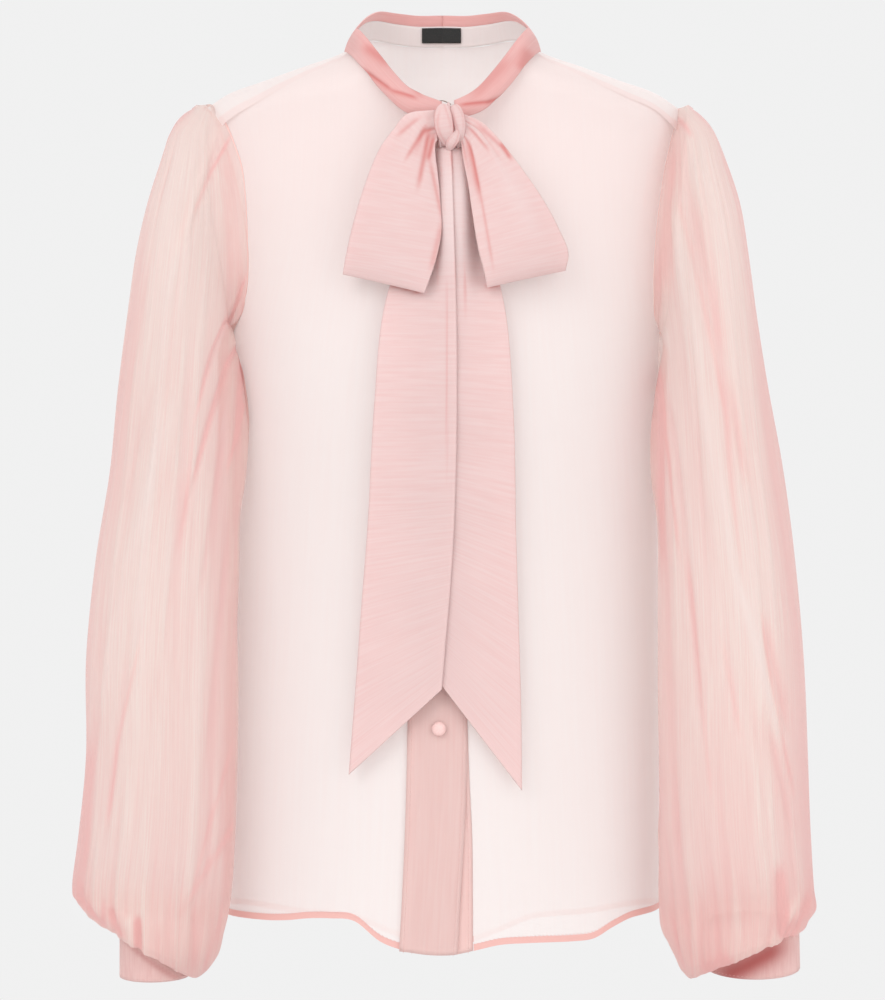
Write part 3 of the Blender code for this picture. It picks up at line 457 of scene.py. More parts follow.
FOLDS_LEFT = (
    (165, -92, 180, -240, 4, 1.8),
    (180, -240, 205, -375, 5, 1.8),
    (205, -375, 230, -480, 5, 1.6),
    (177, -95, 197, -232, 5, -1.2),
    (197, -232, 214, -315, 5, -1.1),
    (160, -250, 171, -350, 2.2, -1.6),
    (171, -350, 180, -478, 2.2, -1.6),
    (150, -220, 160, -400, 2.0, -1.2),
    (158, -400, 166, -600, 2.6, -1.1),
    (186, -330, 204, -470, 2.6, -0.9),
    (226, -405, 240, -480, 3, -1.3),
    (228, -478, 245, -553, 3, -1.5),
    (214, -480, 226, -600, 3, 1.1),
    (190, -480, 200, -620, 3, -0.8),
    (235, -578, 238, -630, 3.4, -2.4),
    (255, -606, 242, -634, 1.8, -1.5),
    (248, -600, 236, -634, 2.6, 1.4),
    (246, -612, 239, -632, 1.2, -1.2),
)

# Painted shade of the sleeves, in the creases and under the overhang, in the same columns, with a depth of
# colour in place of the height (deeper is negative; positive rows are painted highlights)
PAINTED_SHADE_RIGHT = (
    (146, -180, 150, -640, 14, -0.42),
    (158, -60, 146, -190, 7, -0.50),
    (143, -178, 146, -285, 1.8, -0.70),
    (249, -490, 252, -590, 5, -0.60),
    (262, -590, 236, -624, 6, -0.50),
    (232, -606, 222, -630, 5, -0.55),
    (212, -612, 212, -638, 3, -0.90),
    (164, -58, 190, -150, 4, -0.30),
    (210, -150, 232, -330, 6, -0.30),
    (186, -300, 176, -360, 8, -0.20),
    (200, -650, 184, -657, 5, -0.40),
    (141, -160, 164, -220, 1.2, -0.80),
    (162, -216, 174, -268, 1.3, -0.70),
    (173, -264, 180, -333, 1.5, -0.50),
    (144, -199, 154, -230, 1.1, -0.90),
    (153, -228, 174, -308, 1.5, -0.70),
    (142, -250, 152, -300, 1.4, -0.60),
    (153, -57, 167, -87, 1.4, -0.70),
    (166, -84, 178, -119, 1.6, -0.50),
    (210, -420, 228, -495, 1.8, -0.60),
    (227, -490, 234, -547, 2.0, -0.60),
    (145, -547, 183, -611, 2.4, -0.40),
    (150, -500, 176, -600, 1.6, -0.35),
    (236, -600, 238, -622, 2.0, -0.50),
)
PAINTED_SHADE_LEFT = (
    (148, -180, 149, -640, 12, -0.45),
    (172, -46, 154, -190, 7, -0.75),
    (156, -205, 155, -370, 1.8, -0.85),
    (178, -95, 197, -232, 6, -0.45),
    (197, -232, 214, -315, 6, -0.40),
    (226, -405, 240, -480, 5, -0.45),
    (228, -478, 248, -600, 5, -0.30),
    (235, -578, 238, -630, 5, -0.95),
    (256, -600, 243, -634, 4, -0.65),
    (205, -644, 186, -657, 9, -0.80),
    (170, -106, 178, -152, 1.8, -0.45),
    (177, -148, 199, -268, 1.8, -0.45),
    (198, -262, 206, -363, 2.0, -0.40),
    (153, -217, 158, -268, 1.1, -0.80),
    (157, -264, 167, -363, 1.4, -0.70),
    (171, -365, 182, -472, 1.8, -0.50),
    (181, -466, 187, -527, 1.8, -0.40),
    (193, -413, 208, -489, 1.8, -0.40),
    (221, -397, 231, -462, 1.6, -0.70),
    (230, -456, 246, -527, 1.6, -0.70),
    (172, -42, 180, -60, 2.0, -0.70),
    (203, -368, 226, -450, 2.4, 0.70),
    (225, -446, 235, -489, 2.2, 0.60),
    (215, -440, 205, -640, 26, -0.30),
)

# How far the inner side of each sleeve leans in over the armhole, by share down it, and how the cap's
# gathers crowd to the top of the armhole
LEAN_RIGHT = ((0.0, 0.0), (0.04, 0.0080), (0.10, 0.0100), (0.28, 0.0060), (0.45, 0.0020), (0.60, 0.0))
LEAN_LEFT = ((0.0, 0.0), (0.10, -0.0020), (0.30, -0.0065), (0.60, -0.0080), (0.82, -0.0050), (0.92, 0.0))
CAP_SPREAD = 1.4

# Gathers of a sleeve in millimetres: how many, heights they start from, lengths down (up where they are
# negative), half widths, heights, drift to either side
GATHERS = (
    (26, (-58, -40), (45, 190), (0.8, 2.0), (0.35, 0.8), 4),
    (16, (-330, -90), (160, 330), (1.2, 3.2), (0.5, 1.1), 6),
    (24, (-665, -650), (-170, -45), (0.9, 2.4), (0.4, 1.0), 6),
)

# How wide a sleeve's chart counts for its gathers, in the same millimetres
GATHER_SPAN = 100

# How the sleeve's folds lie: the height that takes the full painted shade in a trough and the full painted
# highlight on a ridge, how far the folds of its far face are shifted and their seed, by how far each point
# faces forward the stretch where the near face takes over, where the lean comes in and where it is kept
# clear straight forward, by share down it the stretches where folds start at the cap, end at the cuff and
# the cloth is bunched, and the width of the cap's seam allowance as a share of the hem's
FOLD_FULL = 0.0032
BEHIND_SHIFT = (0.008, 0.03)
BEHIND_SEED = 50
FACING = (-0.1, 0.35)
LEAN_FACING = (0, 0.3)
CLEAR_FACING = (0.1, 0.35)
FOLDS_START = (0, 0.03)
FOLDS_END = (0.985, 1.0)
BUNCHED = (0.84, 0.93)
CAP_ALLOWANCE = 0.5

# Every fold fades out over these shares of its length, beyond its ends and within them
FADE_BEYOND = 0.15
FADE_WITHIN = 0.25

# A sleeve's chart, by height: x of its inner and its outer side; and the girth that it stands for
CHART = (
    (-0.660, 0.1600, 0.2500),
    (-0.630, 0.1520, 0.2600),
    (-0.600, 0.1480, 0.2635),
    (-0.560, 0.1440, 0.2605),
    (-0.505, 0.1425, 0.2570),
    (-0.435, 0.1425, 0.2555),
    (-0.365, 0.1425, 0.2490),
    (-0.300, 0.1420, 0.2395),
    (-0.240, 0.1415, 0.2325),
    (-0.190, 0.1415, 0.2265),
    (-0.145, 0.1415, 0.2210),
    (-0.110, 0.1440, 0.2150),
    (-0.080, 0.1500, 0.2065),
    (-0.055, 0.1550, 0.1985),
    (-0.040, 0.1600, 0.1860),
    (-0.025, 0.1660, 0.1740),
)
CHART_GIRTH = 0.38

# Painted shade across a sleeve, deepest at its outer side, by share of its chart from the inner side; and
# down it by height, painted shade towards the cuff and a little painted light on the upper arm
PAINTED_SHADE_ACROSS = (
    *((0.0, -0.32), (0.20, -0.22), (0.45, -0.08), (0.62, 0.0)),
    *((0.80, -0.02), (0.92, -0.45), (1.0, -0.95)),
)
PAINTED_SHADE_DOWN = ((-0.66, -0.40), (-0.60, -0.22), (-0.50, 0.0), (-0.24, 0.0), (-0.12, 0.14), (-0.03, 0.05))

# Painted shade in the same columns as that of the sleeves: a painted shadow on each cuff, under the sleeve
# that hangs over it, and painted shade in the creases of the collar, the loops and the tails (positive rows
# are painted highlights)
CUFF_PAINTED_SHADOWS = ((224, -631, 180, -664, 1.8, -0.4), (242, -635, 193, -661, 8.0, -1.0))
COLLAR_PAINTED_SHADE = (
    (-57.8, -14.5, -35, -32.5, 1.5, -1.0),
    (-36, -32, -18, -38, 1.5, -1.0),
    (-57, 2, -37, -12, 4.0, -0.7),
    (-37, -12, -15, -36, 1.8, -0.9),
    (-63, 0, -58, -14, 4.0, 0.3),
    (12, -43.5, 33, -40.5, 1.5, -1.0),
    (31, -41, 45, -35, 1.5, -1.0),
    (44, -36, 58, -22, 1.5, -1.0),
    (57, -24, 64, -7, 1.5, -0.9),
    (62, 0, 55, -16, 5.0, -0.6),
    (48, -8, 20, -38, 5.0, -0.45),
)
LOOP_PAINTED_SHADE_RIGHT = (
    (-10, -56, -26, -84, 1.6, -0.7),
    (-9, -60, -17, -104, 1.8, -0.8),
    (-16, -53, -32, -66, 1.6, -0.5),
    (-6, -66, -10, -84, 1.6, -1.0),
    (-9, -84, 0, -128, 1.4, -0.6),
    (0, -128, -8, -162, 2.0, -0.5),
)
LOOP_PAINTED_SHADE_LEFT = (
    (17, -58, 34, -78, 1.6, -0.7),
    (16, -64, 26, -112, 1.8, -0.6),
    (19, -70, 26, -106, 1.0, -0.9),
    (26, -106, 35, -160, 1.0, -0.5),
    (41, -71, 48, -83, 1.6, -1.0),
    (24, -58, 44, -76, 1.6, -0.5),
    (40, -90, 66, -140, 7.0, 0.4),
)
# The first two rows are painted shadows under the loops' lower edges; the wide positive row is painted
# light over the shaded gap between the loops
TAIL_PAINTED_SHADE = (
    (-41, -169, -14, -178, 1.6, -1.0),
    (30, -173, 44, -170, 1.6, -1.0),
    (6, -77, 8, -104, 1.1, -0.9),
    (8, -104, 9, -170, 0.9, -0.9),
    (-1, -84, 2, -128, 1.0, -0.7),
    (13, -84, 22, -128, 1.2, -0.5),
    (3, -160, 3, -300, 0.7, -0.35),
    (8, -84, 9, -165, 14, 0.9),
    (14, -110, 16, -190, 1.0, -0.5),
    (-4, -100, -3, -170, 1.0, -0.5),
)

# The soft ridge of the tails between the loops: middle, half width, height, and the heights over which
# it comes in; and the tails' ripple: height, radians a metre down and across
TAIL_RIDGE = (0.0080, 0.0135, 0.0150)
TAIL_RIDGE_OVER = (-0.20, -0.12)
TAIL_RIPPLE = (0.0005, 95, 20)

# The knot's turns of cloth over its core, by share down each: x, y, z, half width, half thickness, in
# millimetres
KNOT_STRAPS = (
    (
        (0.0, 0.6, -107.5, -43.5, 4.4, 2.2),
        (0.3, 0.4, -112.5, -53.0, 6.2, 3.0),
        (0.65, 1.6, -113.0, -63.0, 6.2, 3.0),
        (1.0, 4.2, -107.5, -74.0, 3.4, 2.0),
    ),
    (
        (0.0, 8.0, -106.5, -44.0, 3.8, 2.2),
        (0.35, 10.8, -110.0, -53.0, 4.6, 3.0),
        (0.7, 12.4, -110.0, -63.0, 3.8, 3.0),
        (1.0, 11.2, -105.0, -75.5, 2.4, 2.0),
    ),
    (
        (0.0, 3.6, -108.5, -76.5, 2.2, 1.8),
        (0.4, 6.4, -112.0, -71.5, 3.8, 2.8),
        (0.75, 9.6, -112.0, -66.5, 3.4, 2.4),
        (1.0, 12.2, -109.0, -61.0, 2.0, 1.6),
    ),
)

# Colours as linear values, and how far a painted highlight takes a ridge from a silk's pale colour to white
GREY_WALL = (0.877, 0.877, 0.877)
SOFT_LIGHT = (1.0, 0.995, 0.99)
FLOOR_PALE = (0.8, 0.8, 0.8)
RIBBON_BLACKS = ((0.006, 0.007, 0.007), (0.022, 0.024, 0.023))
BRONZE_SHADES = ((0.20, 0.15, 0.12), (0.42, 0.33, 0.27))
RIDGE_HIGHLIGHT = 0.35

# The stage: the floor, the lamps by place, size and power, what they aim at, and the camera's place
FLOOR_HEIGHT = -1.25
FLOOR_RADIUS = 3.0
WORLD_STRENGTH = 0.89
LAMPS = (
    ("key_light", (-1.5, -2.4, 1.4), 2.0, 27),
    ("fill_light", (1.7, -2.0, 0.2), 2.0, 12),
    ("back_light", (0.4, 2.2, 1.2), 2.0, 14),
)
LAMP_AIM = (0, 0, -0.32)
CAMERA_PLACE = (0, -2.4, -0.322)
CAMERA_LENS = 117.5
CAMERA_SENSOR = 36


def spline(rows, at):
    """Smooth values of a table's columns at keys in its first column, held level past its ends."""
    table = np.asarray(rows, float)
    keys, values = table[:, 0], table[:, 1:]
    at = np.clip(np.asarray(at, float), keys[0], keys[-1])
    slopes = np.gradient(values, keys, axis=0)
    i = np.clip(np.searchsorted(keys, at, side="right") - 1, 0, len(keys) - 2)
    step = (keys[i + 1] - keys[i])[..., None]
    t = (at - keys[i])[..., None] / step
    before = (1 + 2 * t) * (1 - t) ** 2 * values[i] + t * (1 - t) ** 2 * step * slopes[i]
    after = t * t * (3 - 2 * t) * values[i + 1] - t * t * (1 - t) * step * slopes[i + 1]
    return before + after


def columns(rows, at):
    """A table's columns at the given keys, one array for each column."""
    return np.moveaxis(spline(rows, at), -1, 0)


def joined(*parts):
    """Points or pairs from arrays of their parts."""
    return np.stack(np.broadcast_arrays(*parts), axis=-1)


def unit(vectors):
    """Vectors scaled to length 1."""
    return vectors / np.maximum(np.linalg.norm(vectors, axis=-1, keepdims=True), 1e-12)


def between(low, high, share):
    """The value a share of the way from one to the other."""
    return low + (high - low) * share


def smooth(value, low, high):
    """0 below low, 1 above high, and a soft step between them."""
    t = np.clip((value - low) / (high - low), 0, 1)
    return t * t * (3 - 2 * t)


def roll_of(x):
    """Where the cloth starts to roll over the shoulder at a distance from the middle, and the roll."""
    ridge, roll = columns(SHOULDER, np.abs(x))
    return ridge - roll, roll


def place(angle, rise):
    """A point of the body's form: degrees round from the middle front, and rise up the cloth."""
    round_it = np.radians(angle)
    x = columns(BODY, rise)[0] * np.sin(round_it)
    start, roll = roll_of(x)
    turn = np.clip((rise - start) / roll, 0, pi)
    level = np.minimum(rise, start)
    _, front, back = columns(BODY, level)
    depth = np.where(np.cos(round_it) > 0, front, back)
    y = -depth * np.cos(round_it) * np.cos(turn)
    z = level + roll * np.sin(turn)
    return joined(x, y, z)


def body(angle, rise, out=0.0):
    """A point of the body's form, moved out of the cloth by a distance."""
    angle, rise = np.broadcast_arrays(np.asarray(angle, float), np.asarray(rise, float))
    small = 0.05
    around = place(angle + small, rise) - place(angle - small, rise)
    upward = place(angle, rise + small / 100) - place(angle, rise - small / 100)
    return place(angle, rise) + np.asarray(out)[..., None] * unit(np.cross(around, upward))


def angle_at(x, height):
    """Degrees round the body's form to a distance from the middle, in front."""
    return np.degrees(np.arcsin(np.clip(x / columns(BODY, height)[0], -1, 1)))


def across_ridge(angle, rise):
    """The same point counted from the panel on the other side of the shoulder ridge."""
    x = columns(BODY, rise)[0] * np.sin(np.radians(angle))
    start, roll = roll_of(x)
    return 180 - angle, 2 * (start + roll * pi / 2) - rise


def on_front(x, z, lift):
    """A point in front of the body's form, lifted straight forward off it."""
    half_width, depth, _ = columns(BODY, z)
    y = -depth * np.sqrt(np.maximum(1 - (x / half_width) ** 2, 0.01)) - lift
    return joined(x, y, z)


def stepped(share, counts):
    """Turns a share of a grid into (which stretch, share of it), for stretches of so many cells."""
    cell = share * sum(counts)
    ends = np.cumsum((0, *counts))
    which = np.clip(np.searchsorted(ends, cell + 1e-6, side="right") - 1, 0, len(counts) - 1)
    return which, (cell - ends[which]) / np.asarray(counts)[which]


def finer(values, times):
    """A grid's values with each cell of the first axis divided, following a smooth curve."""
    keys = np.arange(len(values), dtype=float)
    at = np.linspace(0, len(values) - 1, (len(values) - 1) * times + 1)
    table = np.column_stack([keys, values.reshape(len(values), -1)])
    return spline(table, at).reshape(len(at), *values.shape[1:])


def patch(edges, count_u, count_v, fine):
    """Blends four edges into a fine grid of (angle, rise), evened out inside."""
    bottom, top, inner, outer = edges
    u = np.linspace(0, 1, count_u + 1)
    v = np.linspace(0, 1, count_v + 1)
    low, high, start, end = bottom(u), top(u), inner(v), outer(v)
    across, along = u[None, :, None], v[:, None, None]
    flat = (1 - along) * low + along * high + (1 - across) * start[:, None] + across * end[:, None]
    flat = flat - (1 - along) * ((1 - across) * low[0] + across * low[-1])
    flat = flat - along * ((1 - across) * high[0] + across * high[-1])
    for _ in range(EVENING_ROUNDS):
        near = flat[1:-1, :-2] + flat[1:-1, 2:] + flat[:-2, 1:-1] + flat[2:, 1:-1]
        flat[1:-1, 1:-1] = near / 4
    rows = finer(flat, fine[1])
    return finer(rows.transpose(1, 0, 2), fine[0]).transpose(2, 1, 0)


def shoulder_seam(side):
    """The shoulder seam of one side."""
    return SHOULDER_SEAM if side < 0 else SHOULDER_SEAM_LEFT


def seam_rise(x, side):
    """Rise up the front's cloth to the shoulder seam at a distance from the middle."""
    start, roll = roll_of(x)
    return start + roll * np.radians(columns(shoulder_seam(side), x)[0])


def armhole_step(share):
    """Degrees round the armhole at a share of the way from the armpit to the shoulder seam."""
    return np.interp(share, np.linspace(0, 1, len(ARMHOLE_STEPS)), ARMHOLE_STEPS)


def front_row_height(which, share, low, high):
    """Height of a front's rows at its centre edge, level with the armpit where the armhole starts."""
    level = np.interp(share, (0, 0.4, 1), (0, 0.25, 1))
    return np.where(which == 0, between(low, TURN_RISE, share), between(TURN_RISE, high, level))


def armhole_front(side):
    """The front of the armhole on one side."""
    return ARMHOLE_FRONT if side < 0 else ARMHOLE_FRONT_LEFT


def front_edges(side, inner_x):
    """The four edges of a front: side is -1 for the wearer's right and 1 for the left."""
    neck_count, seam_count, side_count, armhole_count = FRONT_GRID
    seam_x = (shoulder_seam(side)[0][0], shoulder_seam(side)[-1][0])

    def bottom(u):
        first = angle_at(inner_x(np.full_like(u, HEM_HEIGHT)), HEM_HEIGHT) * side
        angle = between(first, 90, u)
        x = side * columns(BODY, HEM_HEIGHT)[0] * np.sin(np.radians(angle))
        return joined(angle, columns(HEM_FRONT, x)[0])

    def top(u):
        which, share = stepped(u, (neck_count, seam_count))
        first = inner_x(np.array([NECK_FRONT[0][2]]))[0] * side / NECK_FRONT[1][1] * NECK_FRONT[1][0]
        x, rise = columns(NECK_FRONT, between(first, 1, share))
        along = between(*seam_x, share)
        x = np.where(which == 0, x, along)
        rise = np.where(which == 0, rise, seam_rise(along, side))
        return joined(angle_at(x, rise), rise)

    def inner(v):
        which, share = stepped(v, (side_count, armhole_count))
        low, high = bottom(np.zeros(1))[0, 1], top(np.zeros(1))[0, 1]
        rise = front_row_height(which, share, low, high)
        return joined(angle_at(inner_x(rise) * side, rise), rise)

    def outer(v):
        which, share = stepped(v, (side_count, armhole_count))
        low = bottom(np.ones(1))[0, 1]
        angle, rise = columns(armhole_front(side), armhole_step(share))
        angle = np.where(which == 0, 90, angle)
        rise = np.where(which == 0, between(low, ARMHOLE_FRONT[-1][2], share), rise)
        return joined(angle, rise)

    return bottom, top, inner, outer


def back_edges(side):
    """The four edges of half the back, from the middle to the side, over the shoulder to its seam."""
    neck_count, seam_count, side_count, armhole_count, over_count = BACK_GRID
    seam_x = (shoulder_seam(side)[0][0], shoulder_seam(side)[-1][0])

    def bottom(u):
        angle = 180 - 90 * u
        x = columns(BODY, HEM_HEIGHT)[0] * np.sin(np.radians(angle))
        return joined(angle, columns(HEM_BACK, x)[0])

    def top(u):
        which, share = stepped(u, (neck_count, seam_count))
        x, rise = columns(NECK_BACK, share)
        neck = joined(180 - angle_at(x, rise), rise)
        along = between(*seam_x, share)
        turned = across_ridge(angle_at(along, seam_rise(along, side)), seam_rise(along, side))
        turned = (turned[0], turned[1] - SEAM_OFF / 2)
        return np.where(which[:, None] == 0, neck, np.stack(turned, axis=-1))

    def inner(v):
        which, share = stepped(v, (side_count, armhole_count, over_count))
        stops = np.array([bottom(np.zeros(1))[0, 1], TURN_RISE, BACK_LEVEL, NECK_BACK[0][2]])
        return joined(180.0, between(stops[which], stops[which + 1], share))

    def outer(v):
        which, share = stepped(v, (side_count, armhole_count, over_count))
        low = bottom(np.ones(1))[0, 1]
        side_rise = between(low, ARMHOLE_BACK[-1][2], share)
        up = columns(ARMHOLE_BACK, np.interp(share, (0, 0.4, 1), (ARMPIT, 145, 0)))
        over = across_ridge(*columns(armhole_front(side), SEAM_END * share))
        over = (over[0], over[1] - SEAM_OFF / 2 * share)
        angle = np.select([which == 0, which == 1], [np.full_like(v, 90.0), up[0]], over[0])
        rise = np.select([which == 0, which == 1], [side_rise, up[1]], over[1])
        return joined(angle, rise)

    return bottom, top, inner, outer


def armhole(turn, side):
    """Points just outside the armhole, by degrees round it from the shoulder ridge, in front first."""
    turn = (turn + 180) % 360 - 180
    angle_front, rise_front = columns(armhole_front(side), np.abs(turn))
    angle_back, rise_back = columns(ARMHOLE_BACK, np.abs(turn))
    angle = np.where(turn >= 0, angle_front, angle_back)
    rise = np.where(turn >= 0, rise_front, rise_back)
    return body(angle, rise, np.full_like(rise, ARMHOLE_LAP))


def ring(turn, share, sizes):
    """A slanted ring of the sleeve, by degrees round it and its table columns."""
    outer_x, outer_z, inner_x, inner_z, middle_y, depth = sizes
    along = np.cos(np.radians(turn))
    x = (outer_x + inner_x) / 2 + along * (outer_x - inner_x) / 2
    z = (outer_z + inner_z) / 2 + along * (outer_z - inner_z) / 2
    front = np.sin(np.radians(turn))
    y = middle_y - depth * np.sign(front) * np.abs(front) ** columns(RING_SQUARE, share)[0]
    return joined(x, y, z)


def clear_of_body(point, gap, straight):
    """Moves points out from the body's form until they are a gap clear of it: straight forward where
    the share straight is 1, and away from the middle where it is 0."""
    half_width, front_depth, back_depth = columns(BODY, point[..., 2])
    depth = np.where(point[..., 1] < 0, front_depth, back_depth)
    out = np.hypot(point[..., 0] / half_width, point[..., 1] / depth)
    short = np.maximum((1 + gap / depth) / out - 1, 0)
    away = point * np.stack([1 + short, 1 + short, np.ones_like(short)], axis=-1)
    forward = point.copy()
    over = front_depth * np.sqrt(np.maximum(1 - (point[..., 0] / half_width) ** 2, 0)) + gap
    forward[..., 1] = np.minimum(point[..., 1], -over)
    return between(away, forward, straight[..., None])


def cuff_point(cuff, turn, height, out=0.0):
    """A point of a cuff, by degrees round it from the outer side and height over its lower edge."""
    x, y, z, half_width, half_depth, lean = cuff
    side_x = (half_width + out) * np.cos(np.radians(turn))
    side_y = -(half_depth + out) * np.sin(np.radians(turn))
    tilt = radians(lean)
    return joined(
        x + side_x,
        y + side_y * cos(tilt) + height * sin(tilt),
        z + side_y * sin(tilt) + height * cos(tilt),
    )


def sleeve_form(turn, share, side, bag, cuff):
    """A sleeve's surface without folds for the +X side, by degrees round it and share down it."""
    upper = [(row[0], row[1] if side < 0 else row[2], *row[3:]) for row in SLEEVE]
    rows = [*upper, *bag]
    first, last = rows[0][0], rows[-1][0]
    point = ring(turn, share, columns(rows, share))
    bagged = np.clip((share - BAG_FROM) / BAG_OVER, 0, 1)
    point[..., 2] += BAG_FRONT_RISE * bagged * np.maximum(np.sin(np.radians(turn)), 0)
    at_first = np.full_like(share, first)
    first_ring = ring(turn, at_first, columns(rows, at_first))
    head = np.clip(share / first, 0, 1)[..., None]
    near = (turn + 180) % 360 - 180
    seam = armhole(np.sign(near) * 180 * (np.abs(near) / 180) ** CAP_SPREAD, side)
    point = np.where(share[..., None] < first, seam * (1 - head) + first_ring * head, point)
    foot = np.clip((share - last) / (1 - last), 0, 1)[..., None]
    top = cuff_point(cuff, turn, CUFF_HEIGHT - CUFF_LAP, CUFF_LAP_OUT)
    return np.where(share[..., None] > last, point * (1 - foot) + top * foot, point)


def neckline(share):
    """Points of half the neckline, by share from the middle front to the middle back."""
    front_x, front_rise = columns(NECK_FRONT, share * 2)
    back_x, back_rise = columns(NECK_BACK, (1 - share) * 2)
    in_front = share < 0.5
    angle = np.where(in_front, angle_at(front_x, front_rise), 180 - angle_at(back_x, back_rise))
    rise = np.where(in_front, front_rise, back_rise)
    return body(angle, rise)


def neck_share(x):
    """Share along the front neckline at a small distance from the middle."""
    return x / NECK_FRONT[1][1] * NECK_FRONT[1][0] / 2


def stand(share, up, inwards=0.0):
    """A point of the neck's stand, by share from the middle front to the back and share up it."""
    base = neckline(share)
    height, lean = columns(NECKBAND, share)
    inward = unit(-base * np.array([1, 1, 0]))
    upward = unit(np.array([0, 0, 1]) + lean[..., None] * inward)
    return base + upward * (SEAM_OFF + height * up)[..., None] + inward * inwards


def mirrored(points, side):
    """Points as they are for the wearer's left, and mirrored for the right, where side is -1."""
    return points * np.array([side, 1, 1])


def flipped(side, *grids):
    """Grids with their columns in the other order where side is -1, so that faces point outwards."""
    return tuple(grid[:, ::-1] for grid in grids) if side < 0 else grids


def moved_out(points, amount):
    """A grid of points moved out of the cloth by the same amount everywhere."""
    return lifted(points, np.full(points.shape[:2], amount))


def shares(count_u, count_v):
    """Shares across and along for every corner of a grid, as two arrays."""
    return np.meshgrid(np.linspace(0, 1, count_u + 1), np.linspace(0, 1, count_v + 1))


def outward(points, closed=False):
    """The unit normal at each corner of a grid of points."""
    if closed:
        ring_points = np.concatenate([points[:, -2:-1], points, points[:, 1:2]], axis=1)
        across = np.gradient(ring_points, axis=1)[:, 1:-1]
    else:
        across = np.gradient(points, axis=1)
    along = np.gradient(points, axis=0)
    return unit(np.cross(across, along))


def folds(x, z, rows):
    """How far soft ridges and troughs, given by their ends in millimetres, lift a point at x and z."""
    lift = np.zeros_like(x)
    for x0, z0, x1, z1, width, height in rows:
        px, pz = x * 1000 - x0, z * 1000 - z0
        dx, dz = x1 - x0, z1 - z0
        length = np.hypot(dx, dz)
        along = (px * dx + pz * dz) / length**2
        off = (px * dz - pz * dx) / length
        fade = smooth(along, -FADE_BEYOND, FADE_WITHIN)
        fade = fade * (1 - smooth(along, 1 - FADE_WITHIN, 1 + FADE_BEYOND))
        lift += height / 1000 * fade * np.exp(-((off / width) ** 2))
    return lift


def painted_shade(x, z, rows):
    """Depths of painted shade in soft creases, and of painted light where they are positive, in the same
    columns as folds.
    """
    return folds(x, z, rows) * 1000


def reach(points, from_end=False):
    """How far each corner of a grid lies along its column from the first row, or from the last."""
    steps = np.linalg.norm(np.diff(points, axis=0), axis=-1)
    far = np.concatenate([np.zeros((1, points.shape[1])), np.cumsum(steps, axis=0)])
    return far[-1:] - far if from_end else far


def linked(name, data):
    """A new object in the scene."""
    thing = bpy.data.objects.new(name, data)
    bpy.context.scene.collection.objects.link(thing)
    return thing


def cloth(
    name, points, material, wall, size, fold=None, edge=None, layers=None, closed=False, chart=None,
):
    """A cloth piece: a grid of points, its wall, its size in metres for the weave, or a chart of its own
    for it, and values at each corner: fold, from -1 for full painted shade in a trough to 1 towards
    painted highlight on a ridge (on the back it also deepens the seam allowance), edge, metres to the
    nearest doubled edge, and layers, from 0 where the cloth lies single to 1 where it is bunched, and on
    the sleeves also where shade is painted deep."""
    count_v, count_u = points.shape[0] - 1, points.shape[1] - 1
    mesh = bpy.data.meshes.new(name)
    across = count_u if closed else count_u + 1
    index = np.arange((count_v + 1) * across).reshape(count_v + 1, across)
    if closed:
        index = np.concatenate([index, index[:, :1]], axis=1)
    corners = points[:, :across].reshape(-1, 3)
    quads = np.stack([index[:-1, :-1], index[:-1, 1:], index[1:, 1:], index[1:, :-1]], axis=-1)
    mesh.from_pydata(corners.tolist(), [], quads.reshape(-1, 4).tolist())
    flat = np.stack(shares(count_u, count_v), axis=-1) * size if chart is None else chart
    at_corners = np.stack([flat[:-1, :-1], flat[:-1, 1:], flat[1:, 1:], flat[1:, :-1]], axis=2)
    layer = mesh.uv_layers.new(name="cloth")
    layer.data.foreach_set("uv", at_corners.reshape(-1))
    for word, values, level in (("fold", fold, 0.0), ("edge", edge, 1.0), ("layers", layers, 0.0)):
        attribute = mesh.attributes.new(word, "FLOAT", "POINT")
        values = np.full(points.shape[:2], level) if values is None else values
        attribute.data.foreach_set("value", values[:, :across].reshape(-1).astype(np.float32))
    mesh.polygons.foreach_set("use_smooth", np.ones(len(mesh.polygons), bool))
    mesh.materials.append(material)
    piece = linked(name, mesh)
    if wall:
        solid = piece.modifiers.new("wall", "SOLIDIFY")
        solid.thickness = wall
        solid.offset = 0
        solid.use_even_offset = False
    return piece


def sealed(piece):
    """Closes the poles of a ring-shaped grid and turns its faces outward."""
    shape = bmesh.new()
    shape.from_mesh(piece.data)
    bmesh.ops.remove_doubles(shape, verts=shape.verts, dist=0.00001)
    bmesh.ops.recalc_face_normals(shape, faces=shape.faces)
    shape.to_mesh(piece.data)
    shape.free()
    return piece


def dressed(piece, node):
    """A finished piece rides on the blouse and stands for its node."""
    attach(piece, "root")
    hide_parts(node)
    return piece


def lifted(points, amount, closed=False):
    """A grid of points moved out of the cloth by an amount at each corner."""
    return points + outward(points, closed) * amount[..., None]


# Materials


def add(tree, kind, values=(), links=(), **settings):
    """A new node with its settings, the values of its sockets, and links into them."""
    node = tree.nodes.new(kind)
    for word, value in settings.items():
        setattr(node, word, value)
    for socket, value in dict(values).items():
        node.inputs[socket].default_value = value
    for socket, source in dict(links).items():
        tree.links.new(source, node.inputs[socket])
    return node


